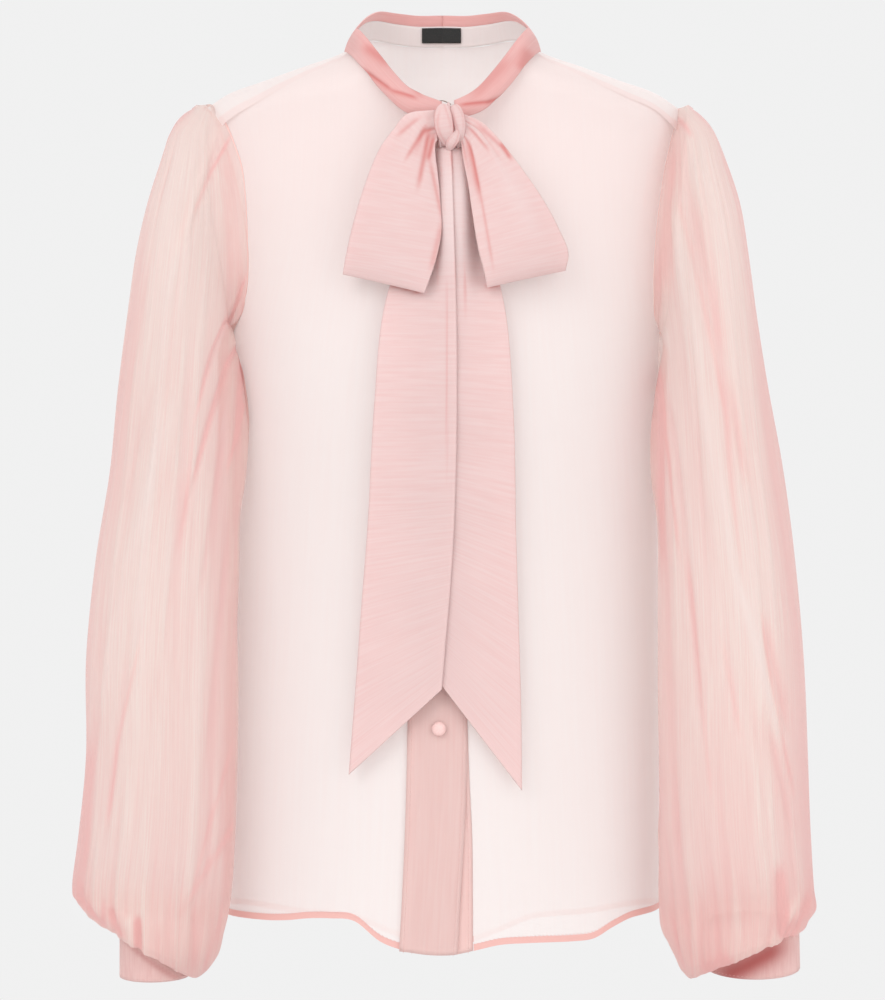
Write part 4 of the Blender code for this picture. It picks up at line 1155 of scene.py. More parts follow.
def crepon_group():
    """Fine crinkle and weave of silk crepon on a piece's own UV map, which is in metres."""
    group = bpy.data.node_groups.new("crepon", "ShaderNodeTree")
    for word, value in (("Across", 450.0), ("Along", 30.0), ("Weave", 2600.0)):
        socket = group.interface.new_socket(name=word, in_out="INPUT", socket_type="NodeSocketFloat")
        socket.default_value = value
    for word in ("Height", "Tint"):
        group.interface.new_socket(name=word, in_out="OUTPUT", socket_type="NodeSocketFloat")
    entry = add(group, "NodeGroupInput").outputs
    chart = add(group, "ShaderNodeUVMap", uv_map="cloth").outputs["UV"]
    stretch = add(group, "ShaderNodeCombineXYZ", links={"X": entry["Across"], "Y": entry["Along"]})
    spread = add(
        group, "ShaderNodeVectorMath", links={0: chart, 1: stretch.outputs["Vector"]}, operation="MULTIPLY",
    )
    crinkle = add(
        group, "ShaderNodeTexNoise", {"Scale": 1.0, "Detail": 3.0, "Roughness": 0.6},
        {"Vector": spread.outputs["Vector"]},
    ).outputs["Fac"]
    weave = add(group, "ShaderNodeTexNoise", {"Detail": 0.0}, {"Vector": chart, "Scale": entry["Weave"]})
    height = add(
        group, "ShaderNodeMath", {1: 0.25}, {0: weave.outputs["Fac"], 2: crinkle}, operation="MULTIPLY_ADD",
    )
    add(group, "NodeGroupOutput", links={"Height": height.outputs["Value"], "Tint": crinkle})
    return group


def ramp_between(tree, low, high, value, from_low, from_high):
    """A node that mixes two colours as a value goes between two limits."""
    level = add(tree, "ShaderNodeMapRange", {"From Min": from_low, "From Max": from_high}, {"Value": value})
    mix = add(tree, "ShaderNodeMix", links={"Factor": level.outputs["Result"]}, data_type="RGBA")
    for socket, colour in ((mix.inputs["A"], low), (mix.inputs["B"], high)):
        if isinstance(colour, tuple):
            socket.default_value = (*colour, 1)
        else:
            tree.links.new(colour, socket)
    return mix.outputs["Result"]


def raised_weave(tree, look, strength, height):
    """The normal of the crepon's crinkle."""
    values = {"Strength": strength, "Distance": height}
    return add(tree, "ShaderNodeBump", values, {"Height": look.outputs["Height"]}).outputs["Normal"]


def crepon_look(tree, across, along):
    """The shared crepon in a material, with its crinkles' counts a metre."""
    return add(tree, "ShaderNodeGroup", {"Across": across, "Along": along}, node_tree=CREPON)


def new_material(name):
    """A new material, its node tree and its main shader."""
    material = bpy.data.materials.new(name)
    material.use_nodes = True
    return material, material.node_tree, material.node_tree.nodes["Principled BSDF"]


def set_shader(tree, shader, values, links):
    """Sets a shader's plain sockets and links its others."""
    for socket, value in values.items():
        shader.inputs[socket].default_value = value
    for socket, source in links.items():
        tree.links.new(source, shader.inputs[socket])


def silk(
    name, pale, deep, opacity, glow=0.3, crinkle=(450.0, 30.0), bump=0.0003, streak=0.5, doubled=None,
):
    """Sheer silk crepon: painted shade in troughs towards the deep colour and painted highlights on ridges
    past the pale one towards white, by the fold value; deeper in its crinkles, partly see-through and
    translucent, so light comes through it.
    """
    material, tree, shader = new_material(name)
    look = crepon_look(tree, *crinkle)
    fold, edge, layers = (
        add(tree, "ShaderNodeAttribute", attribute_name=word).outputs["Fac"]
        for word in ("fold", "edge", "layers")
    )
    hem = {"From Min": HEM_WIDTH + HEM_SOFT, "From Max": HEM_WIDTH}
    double = add(tree, "ShaderNodeMapRange", hem, {"Value": edge}).outputs["Result"]
    middle = tuple((a + b) / 2 for a, b in zip(pale, deep))
    soft = tuple(a + (b - a) * streak for a, b in zip(pale, middle))
    # Painted highlight: the colour a ridge goes to, past the pale one towards white
    light = tuple(value + (1 - value) * RIDGE_HIGHLIGHT for value in pale)
    streaks = ramp_between(tree, soft, pale, look.outputs["Tint"], 0.35, 0.65)
    # Painted shade towards the deep colour in troughs, then painted highlight on ridges
    shaded = ramp_between(tree, deep, streaks, fold, -1.0, 0.0)
    colour = ramp_between(tree, shaded, light, fold, 0.0, 1.5)
    if doubled is not None:
        colour = ramp_between(tree, colour, doubled, double, 0, 1)
    raised = raised_weave(tree, look, 0.6, bump)
    set_shader(
        tree, shader,
        {"Roughness": 0.62, "Specular IOR Level": 0.25, "Sheen Weight": 0.25, "Sheen Roughness": 0.5},
        {"Normal": raised, "Base Color": colour},
    )
    through = add(tree, "ShaderNodeBsdfTranslucent", links={"Color": colour, "Normal": raised})
    lit = add(
        tree, "ShaderNodeMixShader", {"Fac": glow}, {1: shader.outputs["BSDF"], 2: through.outputs["BSDF"]},
    )
    thickest = add(tree, "ShaderNodeMath", links={0: double, 1: layers}, operation="MAXIMUM")
    cover = add(
        tree, "ShaderNodeMapRange", {"To Min": opacity, "To Max": 1 - (1 - opacity) ** 3},
        {"Value": thickest.outputs["Value"]},
    )
    clear = add(tree, "ShaderNodeBsdfTransparent")
    veil = add(
        tree, "ShaderNodeMixShader",
        links={"Fac": cover.outputs["Result"], 1: clear.outputs["BSDF"], 2: lit.outputs["Shader"]},
    )
    tree.links.new(veil.outputs["Shader"], tree.nodes["Material Output"].inputs["Surface"])
    return material


def ribbon(name):
    """Black woven ribbon."""
    material, tree, shader = new_material(name)
    look = crepon_look(tree, 3000.0, 600.0)
    colour = ramp_between(tree, *RIBBON_BLACKS, look.outputs["Tint"], 0.3, 0.7)
    raised = raised_weave(tree, look, 1.0, 0.0001)
    set_shader(tree, shader, {"Roughness": 0.7}, {"Normal": raised, "Base Color": colour})
    return material


def bronze(name):
    """Dark bronze wire with a worn, uneven shine."""
    material, tree, shader = new_material(name)
    place_on = add(tree, "ShaderNodeTexCoord").outputs["Object"]
    worn = add(tree, "ShaderNodeTexNoise", {"Scale": 900.0}, {"Vector": place_on})
    colour = ramp_between(tree, *BRONZE_SHADES, worn.outputs["Fac"], 0.3, 0.7)
    set_shader(tree, shader, {"Metallic": 0.8, "Roughness": 0.4}, {"Base Color": colour})
    return material


CREPON = crepon_group()
# Painted light: the body's silk is paler than the sleeves' to stand for the light a pale form inside would
# give, and to lift the shade the sleeves cast on its sides
BODY_SILK = silk(
    "body_crepon", (0.945, 0.883, 0.870), (0.93, 0.66, 0.63), 0.85,
    crinkle=(260.0, 12.0), bump=0.00012, streak=0.12, doubled=(0.91, 0.54, 0.50),
)
SLEEVE_SILK = silk(
    "sleeve_crepon", (0.915, 0.785, 0.725), (0.88, 0.52, 0.50), 0.62,
    crinkle=(640.0, 16.0), bump=0.0004, streak=0.85, doubled=(0.92, 0.62, 0.58),
)
TIE_SILK = silk(
    "tie_crepon", (0.97, 0.765, 0.75), (0.84, 0.36, 0.34), 0.95,
    crinkle=(22.0, 480.0), bump=0.00018, streak=0.3,
)
# Painted shade: the band round the neck is a deeper copy of the tie's silk, darkened for the shade in its
# folds
COLLAR_SILK = silk(
    "collar_crepon", (0.935, 0.60, 0.58), (0.80, 0.30, 0.28), 0.96,
    crinkle=(22.0, 480.0), bump=0.00015, streak=0.4,
)
# Painted light: the stand's silk is made near white to lift the shade it lies in inside the neck
STAND_SILK = silk(
    "stand_crepon", (0.985, 0.93, 0.915), (0.90, 0.60, 0.57), 0.85, glow=0.15,
    crinkle=(380.0, 20.0), bump=0.0001, streak=0.1,
)
BAND_SILK = silk(
    "band_crepon", (0.97, 0.73, 0.695), (0.86, 0.44, 0.41), 0.95,
    crinkle=(380.0, 20.0), bump=0.00015, streak=0.3,
)
# Painted light and shadow: the cuffs' pale colour is raised against the shade under the sleeves, and their
# very dark deep colour is the painted shadow under the overhang
CUFF_SILK = silk(
    "cuff_crepon", (0.95, 0.71, 0.68), (0.62, 0.20, 0.19), 0.97, glow=0.35,
    crinkle=(500.0, 60.0), bump=0.00015, streak=0.3,
)
BUTTON_SILK = silk(
    "button_crepon", (0.94, 0.66, 0.63), (0.82, 0.40, 0.37), 1.0, glow=0.0,
    crinkle=(500.0, 500.0), bump=0.0002, streak=0.5,
)
THREAD = silk("silk_thread", (0.93, 0.66, 0.63), (0.86, 0.44, 0.41), 1.0, crinkle=(900.0, 900.0))
LABEL_RIBBON = ribbon("label_ribbon")
HOOK_BRONZE = bronze("hook_bronze")


# Stitches


def stitch_tree():
    """Geometry nodes that lay a run of stitches along every line of a mesh."""
    tree = bpy.data.node_groups.new("stitch_run", "GeometryNodeTree")
    face = tree.interface
    face.new_socket(name="Geometry", in_out="INPUT", socket_type="NodeSocketGeometry")
    for word, value in (("Pitch", STITCH_PITCH), ("Length", STITCH_LENGTH), ("Thickness", STITCH_THICK)):
        face.new_socket(name=word, in_out="INPUT", socket_type="NodeSocketFloat").default_value = value
    face.new_socket(name="Thread", in_out="INPUT", socket_type="NodeSocketMaterial")
    face.new_socket(name="Geometry", in_out="OUTPUT", socket_type="NodeSocketGeometry")
    entry = add(tree, "NodeGroupInput").outputs
    line = add(tree, "GeometryNodeMeshToCurve", links={0: entry["Geometry"]})
    spaced = add(
        tree, "GeometryNodeResampleCurve", links={"Curve": line.outputs[0], "Length": entry["Pitch"]},
        mode="LENGTH",
    )
    heading = add(tree, "GeometryNodeInputTangent")
    turned = add(tree, "FunctionNodeAlignRotationToVector", links={"Vector": heading.outputs[0]}, axis="X")
    thread = add(tree, "GeometryNodeMeshUVSphere", {"Segments": 6, "Rings": 4, "Radius": 0.5})
    size = add(
        tree, "ShaderNodeCombineXYZ",
        links={"X": entry["Length"], "Y": entry["Thickness"], "Z": entry["Thickness"]},
    )
    uneven = add(
        tree, "FunctionNodeRandomValue", {0: (0.85, 0.9, 0.9), 1: (1.1, 1.1, 1.1), "Seed": 5},
        data_type="FLOAT_VECTOR",
    )
    scaled = add(
        tree, "ShaderNodeVectorMath", links={0: size.outputs["Vector"], 1: uneven.outputs[0]},
        operation="MULTIPLY",
    )
    laid = add(
        tree, "GeometryNodeInstanceOnPoints",
        links={
            "Points": spaced.outputs[0],
            "Instance": thread.outputs["Mesh"],
            "Rotation": turned.outputs["Rotation"],
            "Scale": scaled.outputs["Vector"],
        },
    )
    real = add(tree, "GeometryNodeRealizeInstances", links={0: laid.outputs[0]})
    paint = add(
        tree, "GeometryNodeSetMaterial", links={"Geometry": real.outputs[0], "Material": entry["Thread"]},
    )
    add(tree, "NodeGroupOutput", links={"Geometry": paint.outputs["Geometry"]})
    return tree


def keep_stitches(name, line):
    """Keeps a line of points for a run of stitches."""
    SEAMS.setdefault(name, []).append(np.asarray(line))


def stitches(name, lines, tree, thread):
    """A mesh of the stitches along lines of points, made with geometry nodes and then plain."""
    corners, edges, count = [], [], 0
    for line in lines:
        corners += line.tolist()
        edges += [(count + i, count + i + 1) for i in range(len(line) - 1)]
        count += len(line)
    mesh = bpy.data.meshes.new(name + "_line")
    mesh.from_pydata(corners, edges, [])
    run = linked(name + "_line", mesh)
    modifier = run.modifiers.new("stitches", "NODES")
    modifier.node_group = tree
    named = {item.name: item.identifier for item in tree.interface.items_tree if item.in_out == "INPUT"}
    modifier[named["Pitch"]] = STITCH_PITCH
    modifier[named["Length"]] = STITCH_LENGTH
    modifier[named["Thickness"]] = STITCH_THICK
    modifier[named["Thread"]] = thread
    graph = bpy.context.evaluated_depsgraph_get()
    plain = bpy.data.meshes.new_from_object(run.evaluated_get(graph))
    bpy.data.objects.remove(run, do_unlink=True)
    plain.polygons.foreach_set("use_smooth", np.ones(len(plain.polygons), bool))
    return linked(name, plain)


# Panels of the body


def front(name, side, inner_x):
    """A front, with its narrow doubled hem."""
    neck_count, seam_count, side_count, armhole_count = FRONT_GRID
    grid = (neck_count + seam_count, side_count + armhole_count)
    angle, rise = patch(front_edges(side, inner_x), *grid, PANEL_FINE)
    points = body(side * np.minimum(angle, 90 - SIDE_HALF_GAP), rise)
    drape = DRAPE_HEIGHT * np.sin(angle / DRAPE_WAVE + side)
    drape = drape * smooth(-rise, *DRAPE_DOWN) * (1 - smooth(angle, *DRAPE_SIDE))
    points = lifted(points, drape * side)
    edge = reach(points)
    # Painted shade near the shoulders, where the fronts would otherwise show lighter
    fold = TOP_PAINTED_SHADE * smooth(points[..., 2], *TOP_PAINTED_SHADE_OVER)
    points, edge, fold = flipped(-side, points, edge, fold)
    keep_stitches("hem_" + name, moved_out(points, -STITCH_OUT)[1])
    return cloth(name, points[::-1], BODY_SILK, 0, WEAVE["front"], fold[::-1], edge[::-1])


def back():
    """The back, over the shoulders to the forward seam, with its narrow doubled hem."""
    neck_count, seam_count, side_count, armhole_count, over_count = BACK_GRID
    grid = (neck_count + seam_count, side_count + armhole_count + over_count)
    halves = []
    for side in (-1, 1):
        angle, rise = patch(back_edges(side), *grid, BACK_FINE)
        points = body(np.maximum(angle, 90 + SIDE_HALF_GAP), rise)
        allowance = reach(points, from_end=True)
        allowance[:, : neck_count * BACK_FINE[0]] = 1
        fold = ALLOWANCE_TINT * (1 - smooth(allowance, *ALLOWANCE_WIDTH))
        halves.append((mirrored(points, side), reach(points), fold))
    both, edge, fold = (np.concatenate([right[:, :0:-1], left], axis=1) for right, left in zip(*halves))
    keep_stitches("hem_back", moved_out(both, -STITCH_OUT)[1])
    return cloth("back_cloth", both[::-1], BODY_SILK, 0, WEAVE["back"], fold[::-1], edge[::-1])


def placket_edge(column, out=0.0):
    """One edge of the front bands, from a column of their table, as a function of height."""
    return lambda height: columns(PLACKET, height)[column] + out


def placket(name, left, right, out):
    """A front band from the hem to the neck between two edges, each a function of height."""
    u, v = shares(*CELLS["placket"])
    low = columns(HEM_FRONT, between(left(HEM_HEIGHT), right(HEM_HEIGHT), u))[0]
    height = front_row_height(*stepped(v, FRONT_GRID[2:]), low, NECK_FRONT[0][2])
    x = between(left(height), right(height), u)
    dip = columns(NECK_FRONT, np.abs(x) / NECK_FRONT[1][1] * NECK_FRONT[1][0])[1]
    height = height + (dip - NECK_FRONT[0][2]) * v
    points = body(angle_at(x, height), height, out)
    thread_line = body(angle_at(x, height), height, out + DOUBLE / 2 + STITCH_OUT / 3)
    for column in (1, -2):
        keep_stitches("placket", thread_line[:, column])
    return cloth(name, points[::-1], BAND_SILK, DOUBLE, WEAVE["placket"])


# Sleeves and cuffs


def gathers(seed, count, top, lengths, widths, heights, drift):
    """Rows for folds() on a sleeve's chart: gathers spread unevenly across it, from the GATHERS columns."""
    chance = np.random.default_rng(seed)
    rows = []
    for spot in (np.arange(count) + chance.uniform(0.1, 0.9, count)) / count * GATHER_SPAN:
        start = chance.uniform(*top)
        height = chance.uniform(*heights) * chance.choice((1, 1, -1))
        rows.append(
            (spot, start, spot + chance.uniform(-drift, drift), start - chance.uniform(*lengths),
             chance.uniform(*widths), height)
        )
    return rows


def gathered(across, z, seed):
    """How far the gathers of one face of a sleeve lift it, at places on its chart."""
    rows = [row for step, kind in enumerate(GATHERS) for row in gathers(seed + step, *kind)]
    return folds(across * GATHER_SPAN / 1000, z, rows)


def sleeve(name, side, bag, cuff, main_folds, shade_rows, lean, seed):
    """A balloon sleeve, gathered at the cap and into the cuff."""
    u, v = shares(*CELLS["sleeve"])
    turn = 360 * u
    share = np.interp(v, np.linspace(0, 1, len(SLEEVE_STEPS)), SLEEVE_STEPS)
    points = sleeve_form(turn, share, side, bag, cuff)
    front = np.sin(np.radians(turn))
    facing = smooth(front, *FACING)
    inner_share = (1 - np.cos(np.radians(turn))) / 2
    leaning = np.where(side < 0, smooth(front, *LEAN_FACING), 1)
    points[..., 0] -= columns(lean, share)[0] * leaning * inner_share
    inner_x, outer_x = columns(CHART, points[..., 2])
    across = np.clip((points[..., 0] - inner_x) / (outer_x - inner_x), 0, 1)
    lift = folds(points[..., 0], points[..., 2], main_folds) + gathered(across, points[..., 2], seed)
    behind = folds(points[..., 0] + BEHIND_SHIFT[0], points[..., 2] + BEHIND_SHIFT[1], main_folds)
    behind = behind + gathered(across, points[..., 2], seed + BEHIND_SEED)
    lift = lift * facing + behind * (1 - facing)
    lift = lift * smooth(share, *FOLDS_START) * (1 - smooth(share, *FOLDS_END))
    # Painted shade in the sleeve's creases and under its overhang, with a few painted highlights, on its
    # near face; where it is deep it also makes the cloth more opaque
    shade = painted_shade(points[..., 0], points[..., 2], shade_rows) * facing
    bunched = np.maximum(smooth(share, *BUNCHED), np.clip(-shade, 0, 1))
    # Painted shade towards the sleeve's sides and foot, and a little painted light on the upper arm
    shade = shade + columns(PAINTED_SHADE_ACROSS, across)[0] + columns(PAINTED_SHADE_DOWN, points[..., 2])[0]
    points = lifted(points, lift, closed=True)
    gap = between(ARMHOLE_LAP, SLEEVE_CLEAR, np.clip(share / CLEAR_OVER, 0, 1))
    cleared = clear_of_body(points, gap, smooth(front, *CLEAR_FACING))
    points = np.where((share > 0)[..., None], cleared, points)
    points = mirrored(points, side)
    # Each fold's height paints shade in its trough and a highlight on its ridge
    fold = np.clip(lift / FOLD_FULL + shade, -1, 1)
    edge = reach(points) / CAP_ALLOWANCE
    half_round = np.where(turn < 180, 1 - across, 1 + across) / 2
    chart = np.stack([half_round * CHART_GIRTH, -points[..., 2]], axis=-1)
    points, fold, edge, bunched, chart = flipped(side, points, fold, edge, bunched, chart)
    return cloth(name, points, SLEEVE_SILK, 0, None, fold, edge, bunched, closed=True, chart=chart)


def cuff_piece(name, side, cuff, under):
    """A doubled cuff, with a painted shadow where the sleeve hangs over it."""
    u, v = shares(*CELLS["cuff"])
    points = mirrored(cuff_point(cuff, 360 * u, CUFF_HEIGHT * (1 - v)), side)
    thread_line = mirrored(cuff_point(cuff, 360 * u, CUFF_HEIGHT * (1 - v), DOUBLE / 2), side)
    for row in (2, -2):
        keep_stitches("cuff", thread_line[row])
    # Painted shadow under the sleeve's overhang
    fold = painted_shade(points[..., 0] * side, points[..., 2], (under,))
    points, fold = flipped(side, points, fold)
    return cloth(name, points, CUFF_SILK, DOUBLE, WEAVE["cuff"], fold, closed=True)


# Neck and bow


def neckband():
    """The stand inside the neck, from one front edge round the back to the other."""
    u, v = shares(*CELLS["neckband"])
    first = neck_share(NECKBAND_HALF_OPEN)
    share = between(first, 1, 1 - np.abs(2 * u - 1))
    points = stand(share, 1 - v)
    points[..., 0] *= np.where(u < 0.5, -1, 1)
    return cloth("neckband_cloth", points, STAND_SILK, DOUBLE, WEAVE["neckband"])


def band(name, table, side, end_x):
    """Half the tie round the neck, from the knot to the middle back."""
    u, v = shares(*CELLS["band"])
    first = neck_share(end_x)
    share = between(first, 1, u)
    base = neckline(share)
    low_out, low_up, top_out, top_up, bulge = columns(table, u)
    out = between(low_out, top_out, v) + bulge * np.sin(pi * v)
    up = SEAM_OFF + low_up + (top_up - low_up) * v
    points = base + unit(base * np.array([1, 1, 0])) * out[..., None]
    points[..., 2] += up
    points = mirrored(points, side)
    in_front = points[..., 1] < BAND_FRONT_TO
    # Painted shade in the collar's creases, with a painted highlight, on its front; it also dents the cloth
    fold = np.clip(painted_shade(points[..., 0], points[..., 2], COLLAR_PAINTED_SHADE) * in_front, -1, 1)
    points = points + unit(mirrored(base, side)) * fold[..., None] * BAND_CREASE
    points, fold = flipped(side, points, fold)
    return cloth(name, points[::-1], COLLAR_SILK, DOUBLE, WEAVE["band"], fold[::-1])


def loop(name, table, creases, seed):
    """A loop of the bow: down from the knot in front, folded, and back up behind."""
    u, v = shares(*CELLS["loop"])
    down = np.sin((1 - np.abs(2 * v - 1)) * pi / 2)
    left_x, left_z, right_x, right_z, apart, lift = columns(table, down)
    x, z = between(left_x, right_x, u), between(left_z, right_z, u)
    belly = between(LOOP_EDGE, 1, np.sin(pi * u))
    rounded = np.sqrt(1 - np.clip((down - LOOP_FOLD) / (1 - LOOP_FOLD), 0, 1) ** 2)
    half = apart * belly / 2
    points = on_front(x, z, lift + half + np.where(v < 0.5, half, -half) * rounded)
    chance = np.random.default_rng(seed)
    pleats = np.zeros_like(u)
    for spot in np.linspace(*PLEAT_PLACES, PLEATS) + chance.uniform(*PLEAT_STRAY, PLEATS):
        end = chance.uniform(*PLEAT_ENDS)
        height = chance.uniform(*PLEAT_HEIGHTS)
        off = (u - spot) / chance.uniform(*PLEAT_WIDTHS)
        pleats += height * np.exp(-(off**2)) * (1 - smooth(down, 0.05, end))
    # Painted shade in the creases near the knot, with a painted highlight; the pleats add painted shade and
    # highlight by their height
    shade = painted_shade(x, z, creases) * (v < 0.5)
    points = lifted(points, -pleats - LOOP_CREASE * shade)
    fold = np.clip(pleats / PLEAT_FULL + shade, -1, 1)
    return cloth(name, points[:, ::-1], TIE_SILK, DOUBLE, WEAVE["loop"], fold[:, ::-1])


def tail(name, table, lift):
    """A tail of the tie, hanging from the knot to its slanted end."""
    u, v = shares(*CELLS["tail"])
    left_x, left_z, right_x, right_z = columns(table, v)
    x, z = between(left_x, right_x, u), between(left_z, right_z, u)
    ripple = TAIL_RIPPLE[0] * np.sin(z * TAIL_RIPPLE[1] + x * TAIL_RIPPLE[2]) * np.sin(pi * u)
    middle, width, height = TAIL_RIDGE
    raised = height * np.exp(-(((x - middle) / width) ** 4)) * smooth(z, *TAIL_RIDGE_OVER)
    # Painted shade in the tails' creases, painted shadow under the loops' lower edges and painted light
    # over the gap between the loops
    shade = np.clip(painted_shade(x, z, TAIL_PAINTED_SHADE), -1, 1)
    points = on_front(x, z, lift + ripple + raised)
    return cloth(name, points[:, ::-1], TIE_SILK, DOUBLE, WEAVE["tail"], shade[:, ::-1])


def knot():
    """The knot: a soft wrap with folds running down over the middle of the bow."""
    u, v = shares(*CELLS["knot"])
    turn = 2 * pi * u
    across = np.cos(pi * v)
    around = np.sin(pi * v) ** KNOT_BLUNT
    (high, few, bend), (low, many, sway) = KNOT_RIDGES
    ridges = high * np.cos(across * few + bend * np.sin(turn))
    ridges = ridges + low * np.cos(across * many - sway * np.cos(turn))
    size = around * (1 + ridges)
    points = joined(
        KNOT_MIDDLE[0] + KNOT_HALF[0] * KNOT_WIDE * across,
        KNOT_MIDDLE[1] - KNOT_HALF[1] * np.cos(turn) * size,
        KNOT_MIDDLE[2] + KNOT_HALF[2] * np.sin(turn) * size,
    )
    # Painted shade in the troughs between the knot's ridges
    fold = np.clip(ridges / KNOT_FULL, -1, 0)
    return sealed(cloth("knot_cloth", points, TIE_SILK, 0, WEAVE["knot"], fold, closed=True))


def knot_strap(name, rows):
    """One turn of cloth over the knot: a flattened, creased tube along a short path."""
    u, v = shares(*CELLS["strap"])
    x, y, z, wide, thick = (column / 1000 for column in columns(rows, v))
    ends = np.sqrt(np.maximum(1 - np.abs(2 * v - 1) ** 6, 0.0))
    path = joined(x, y, z)
    along = unit(np.gradient(path, axis=0))
    across = unit(np.cross(along, (0, 1, 0)))
    forward = unit(np.cross(across, along))
    turn = 2 * pi * u
    far, turns, start = STRAP_WANDER
    wander = far * np.sin(turns * v + start * x[0, 0])
    (depth, spot, width, *coming), (under_depth, under_spot, under_width, *going) = STRAP_CREASES
    crease = 1 - depth * np.exp(-(((u - spot - wander) / width) ** 2)) * smooth(v, *coming)
    lower = under_depth * np.exp(-(((u - under_spot + wander) / under_width) ** 2))
    crease = crease - lower * (1 - smooth(v, *going))
    points = path + across * (wide * ends * np.cos(turn))[..., None]
    points = points - forward * (thick * ends * crease * np.sin(turn))[..., None]
    # Painted shade in the strap's creases and along both its edges, where it turns under
    fold = np.clip(2.0 * (crease - 1) - 0.6 * np.abs(np.cos(turn)) ** 12, -1, 0)
    return sealed(cloth(name, points, TIE_SILK, 0, WEAVE["strap"], fold, closed=True))


def label():
    """The bare woven label on the inside of the stand at the middle back."""
    u, v = shares(*CELLS["label"])
    x = LABEL_MIDDLE + (u - 0.5) * LABEL_WIDTH
    keys, back_x, _ = np.array(NECK_BACK).T
    share = 1 - np.interp(np.abs(x), back_x, keys) / 2
    points = stand(share, between(*LABEL_SHARES, 1 - v), LABEL_OFF)
    points[..., 0] = x
    return cloth("label_cloth", points, LABEL_RIBBON, SINGLE, WEAVE["label"])


# Buttons and hook


def covered_button(name, seat, outwards):
    """A cloth-covered button: a soft dome with a turned-in rim, standing on a point of the cloth."""
    outwards = unit(np.asarray(outwards, float))
    side = unit(np.cross(outwards, (0, 0, 1)))
    up = np.cross(side, outwards)
    wide, high = np.array(BUTTON_PROFILE).T
    turn = np.linspace(0, 2 * pi, BUTTON_ROUND)
    pucker = 1 + BUTTON_PUCKER * np.cos(turn * BUTTON_PUCKERS)[None, :] * (wide > 0.9)[:, None]
    along = np.stack([np.cos(turn), np.sin(turn)], axis=-1)
    spread = BUTTON_RADIUS * wide[:, None] * pucker
    points = seat + spread[..., None] * (along[:, :1] * side + along[:, 1:] * up)
    points = points + (BUTTON_HEIGHT * high)[:, None, None] * outwards
    return sealed(cloth(name, points, BUTTON_SILK, 0, WEAVE["button"], closed=True))


def neck_hook():
    """The bronze wire hook at the front of the stand."""
    route = finer(np.array(HOOK_ROUTE), HOOK_FINE)
    along = unit(np.gradient(route, axis=0))
    side = unit(np.cross(along, (0, 1, 0)))
    up = np.cross(side, along)
    turn = np.linspace(0, 2 * pi, HOOK_ROUND)
    round_it = np.cos(turn)[None, :, None] * side[:, None] + np.sin(turn)[None, :, None] * up[:, None]
    size = np.full(len(route), HOOK_WIRE / 2)
    size[0] = size[-1] = 0
    points = route[:, None] + round_it * size[:, None, None]
    return sealed(cloth("neck_hook_wire", points, HOOK_BRONZE, 0, WEAVE["hook"], closed=True))


def studio_world():
    """Soft light all round, and a plain grey wall where the camera sees past the blouse."""
    world = bpy.data.worlds.new("studio")
    bpy.context.scene.world = world
    world.use_nodes = True
    tree = world.node_tree
    seen = tree.nodes["Background"]
    seen.inputs["Color"].default_value = (*GREY_WALL, 1)
    soft = add(tree, "ShaderNodeBackground", {"Color": (*SOFT_LIGHT, 1), "Strength": WORLD_STRENGTH})
    path = add(tree, "ShaderNodeLightPath")
    ways = {1: soft.outputs["Background"], 2: seen.outputs["Background"]}
    mix = add(tree, "ShaderNodeMixShader", links={"Fac": path.outputs["Is Camera Ray"], **ways})
    tree.links.new(mix.outputs["Shader"], tree.nodes["World Output"].inputs["Surface"])


def stage():
    """A wide pale floor well below the blouse, soft lights and the camera in front."""
    bpy.ops.mesh.primitive_circle_add(
        vertices=96, radius=FLOOR_RADIUS, fill_type="NGON", location=(0, 0, FLOOR_HEIGHT),
    )
    floor = bpy.context.object
    floor.name = "floor"
    material, tree, shader = new_material("floor_pale")
    set_shader(tree, shader, {"Base Color": (*FLOOR_PALE, 1), "Roughness": 1.0}, {})
    floor.data.materials.append(material)
    studio_world()
    for name, spot, size, power in LAMPS:
        lamp = bpy.data.lights.new(name, "AREA")
        lamp.size = size
        lamp.energy = power
        light = linked(name, lamp)
        light.location = spot
        aim = np.array(LAMP_AIM) - np.array(spot)
        level = np.hypot(aim[0], aim[1])
        light.rotation_euler = (np.arctan2(level, -aim[2]), 0, np.arctan2(aim[1], aim[0]) - pi / 2)
    lens = bpy.data.cameras.new("camera")
    lens.lens = CAMERA_LENS
    lens.sensor_width = CAMERA_SENSOR
    camera = linked("camera", lens)
    camera.location = CAMERA_PLACE
    camera.rotation_euler = (pi / 2, 0, 0)
    scene = bpy.context.scene
    scene.camera = camera
    scene.view_settings.view_transform = "Standard"
    scene.cycles.transparent_max_bounces = 12
    scene.cycles.max_bounces = 4
    scene.cycles.diffuse_bounces = 3


def body_panels():
    """The two fronts, the back and the button bands."""
    right = front("front_right_cloth", -1, placket_edge(0, PLACKET_OVERLAP))
    left = front("front_left_cloth", 1, placket_edge(2, PLACKET_CLEAR))
    rear = back()
    for piece, node in ((right, "front_right"), (left, "front_left"), (rear, "back")):
        dressed(piece, node)
    for node, edges, out in (
        ("placket_top", (placket_edge(0), placket_edge(1)), PLACKET_OUT),
        ("placket_under", (placket_edge(0, PLACKET_OVERLAP + PLACKET_CLEAR), placket_edge(2)), 0.0),
    ):
        piece = dressed(placket(node + "_cloth", *edges, out), node)


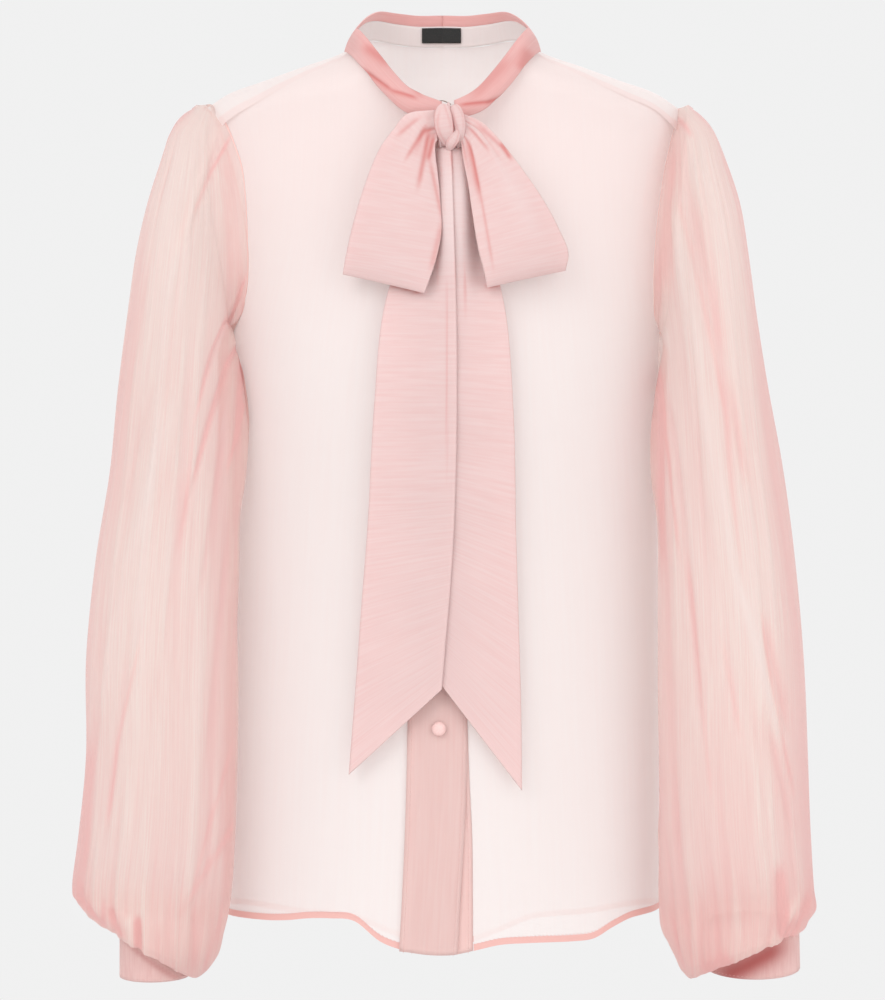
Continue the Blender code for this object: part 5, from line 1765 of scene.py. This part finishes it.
def arms():
    """The sleeves and their cuffs."""
    for word, side, bag, cuff, main, shade_rows, lean, under, seed in (
        ("right", -1, BAG_RIGHT, CUFF_RIGHT, FOLDS_RIGHT, PAINTED_SHADE_RIGHT, LEAN_RIGHT, CUFF_PAINTED_SHADOWS[0], 11),
        ("left", 1, BAG_LEFT, CUFF_LEFT, FOLDS_LEFT, PAINTED_SHADE_LEFT, LEAN_LEFT, CUFF_PAINTED_SHADOWS[1], 29),
    ):
        piece = sleeve(f"sleeve_{word}_cloth", side, bag, cuff, main, shade_rows, lean, seed)
        dressed(piece, f"sleeve_{word}")
        piece = dressed(cuff_piece(f"cuff_{word}_cloth", side, cuff, under), f"cuff_{word}")


def neck_and_bow():
    """The stand, the tie round the neck, the bow and its knot, the label and the hook."""
    dressed(neckband(), "neckband")
    for word, side, end_x, table in (
        ("right", -1, BAND_ENDS[0], BAND_RIGHT),
        ("left", 1, BAND_ENDS[1], BAND_LEFT),
    ):
        piece = dressed(band(f"tie_band_{word}_cloth", table, side, end_x), f"tie_band_{word}")
    for word, loop_table, creases, tail_table, lift, seed in (
        ("right", LOOP_RIGHT, LOOP_PAINTED_SHADE_RIGHT, TAIL_RIGHT, TAIL_LIFT[0], 3),
        ("left", LOOP_LEFT, LOOP_PAINTED_SHADE_LEFT, TAIL_LEFT, TAIL_LIFT[1], 8),
    ):
        piece = dressed(loop(f"loop_{word}_cloth", loop_table, creases, seed), f"loop_{word}")
        piece = dressed(tail(f"tail_{word}_cloth", tail_table, lift), f"tail_{word}")
    dressed(knot(), "knot")
    for index, rows in enumerate(KNOT_STRAPS, start=1):
        dressed(knot_strap(f"knot_strap_{index}", rows), "knot")
    dressed(label(), "label")
    dressed(neck_hook(), "neck_hook")


def buttons():
    """The covered buttons, down the front and on the cuffs, each by its foot and its seat."""
    places = []
    for index, height in enumerate(BUTTON_HEIGHTS, start=1):
        angle = angle_at(BUTTON_X, np.array(height))
        places.append((f"button_{index}", body(angle, height, 0.0), body(angle, height, BUTTON_SEAT)))
    for word, side, cuff in (("right", -1, CUFF_RIGHT), ("left", 1, CUFF_LEFT)):
        foot, seat = (
            mirrored(cuff_point(cuff, CUFF_BUTTON_ANGLE, CUFF_BUTTON_UP, out), side)
            for out in (0.0, CUFF_BUTTON_SEAT)
        )
        places.append((f"cuff_button_{word}", foot, seat))
    for node, foot, seat in places:
        dressed(covered_button(node + "_covered", seat, seat - foot), node)


stage()
body_panels()
arms()
neck_and_bow()
buttons()
THREAD_TREE = stitch_tree()
for seam, seam_lines in SEAMS.items():
    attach(stitches(seam + "_stitches", seam_lines, THREAD_TREE, THREAD), "root")
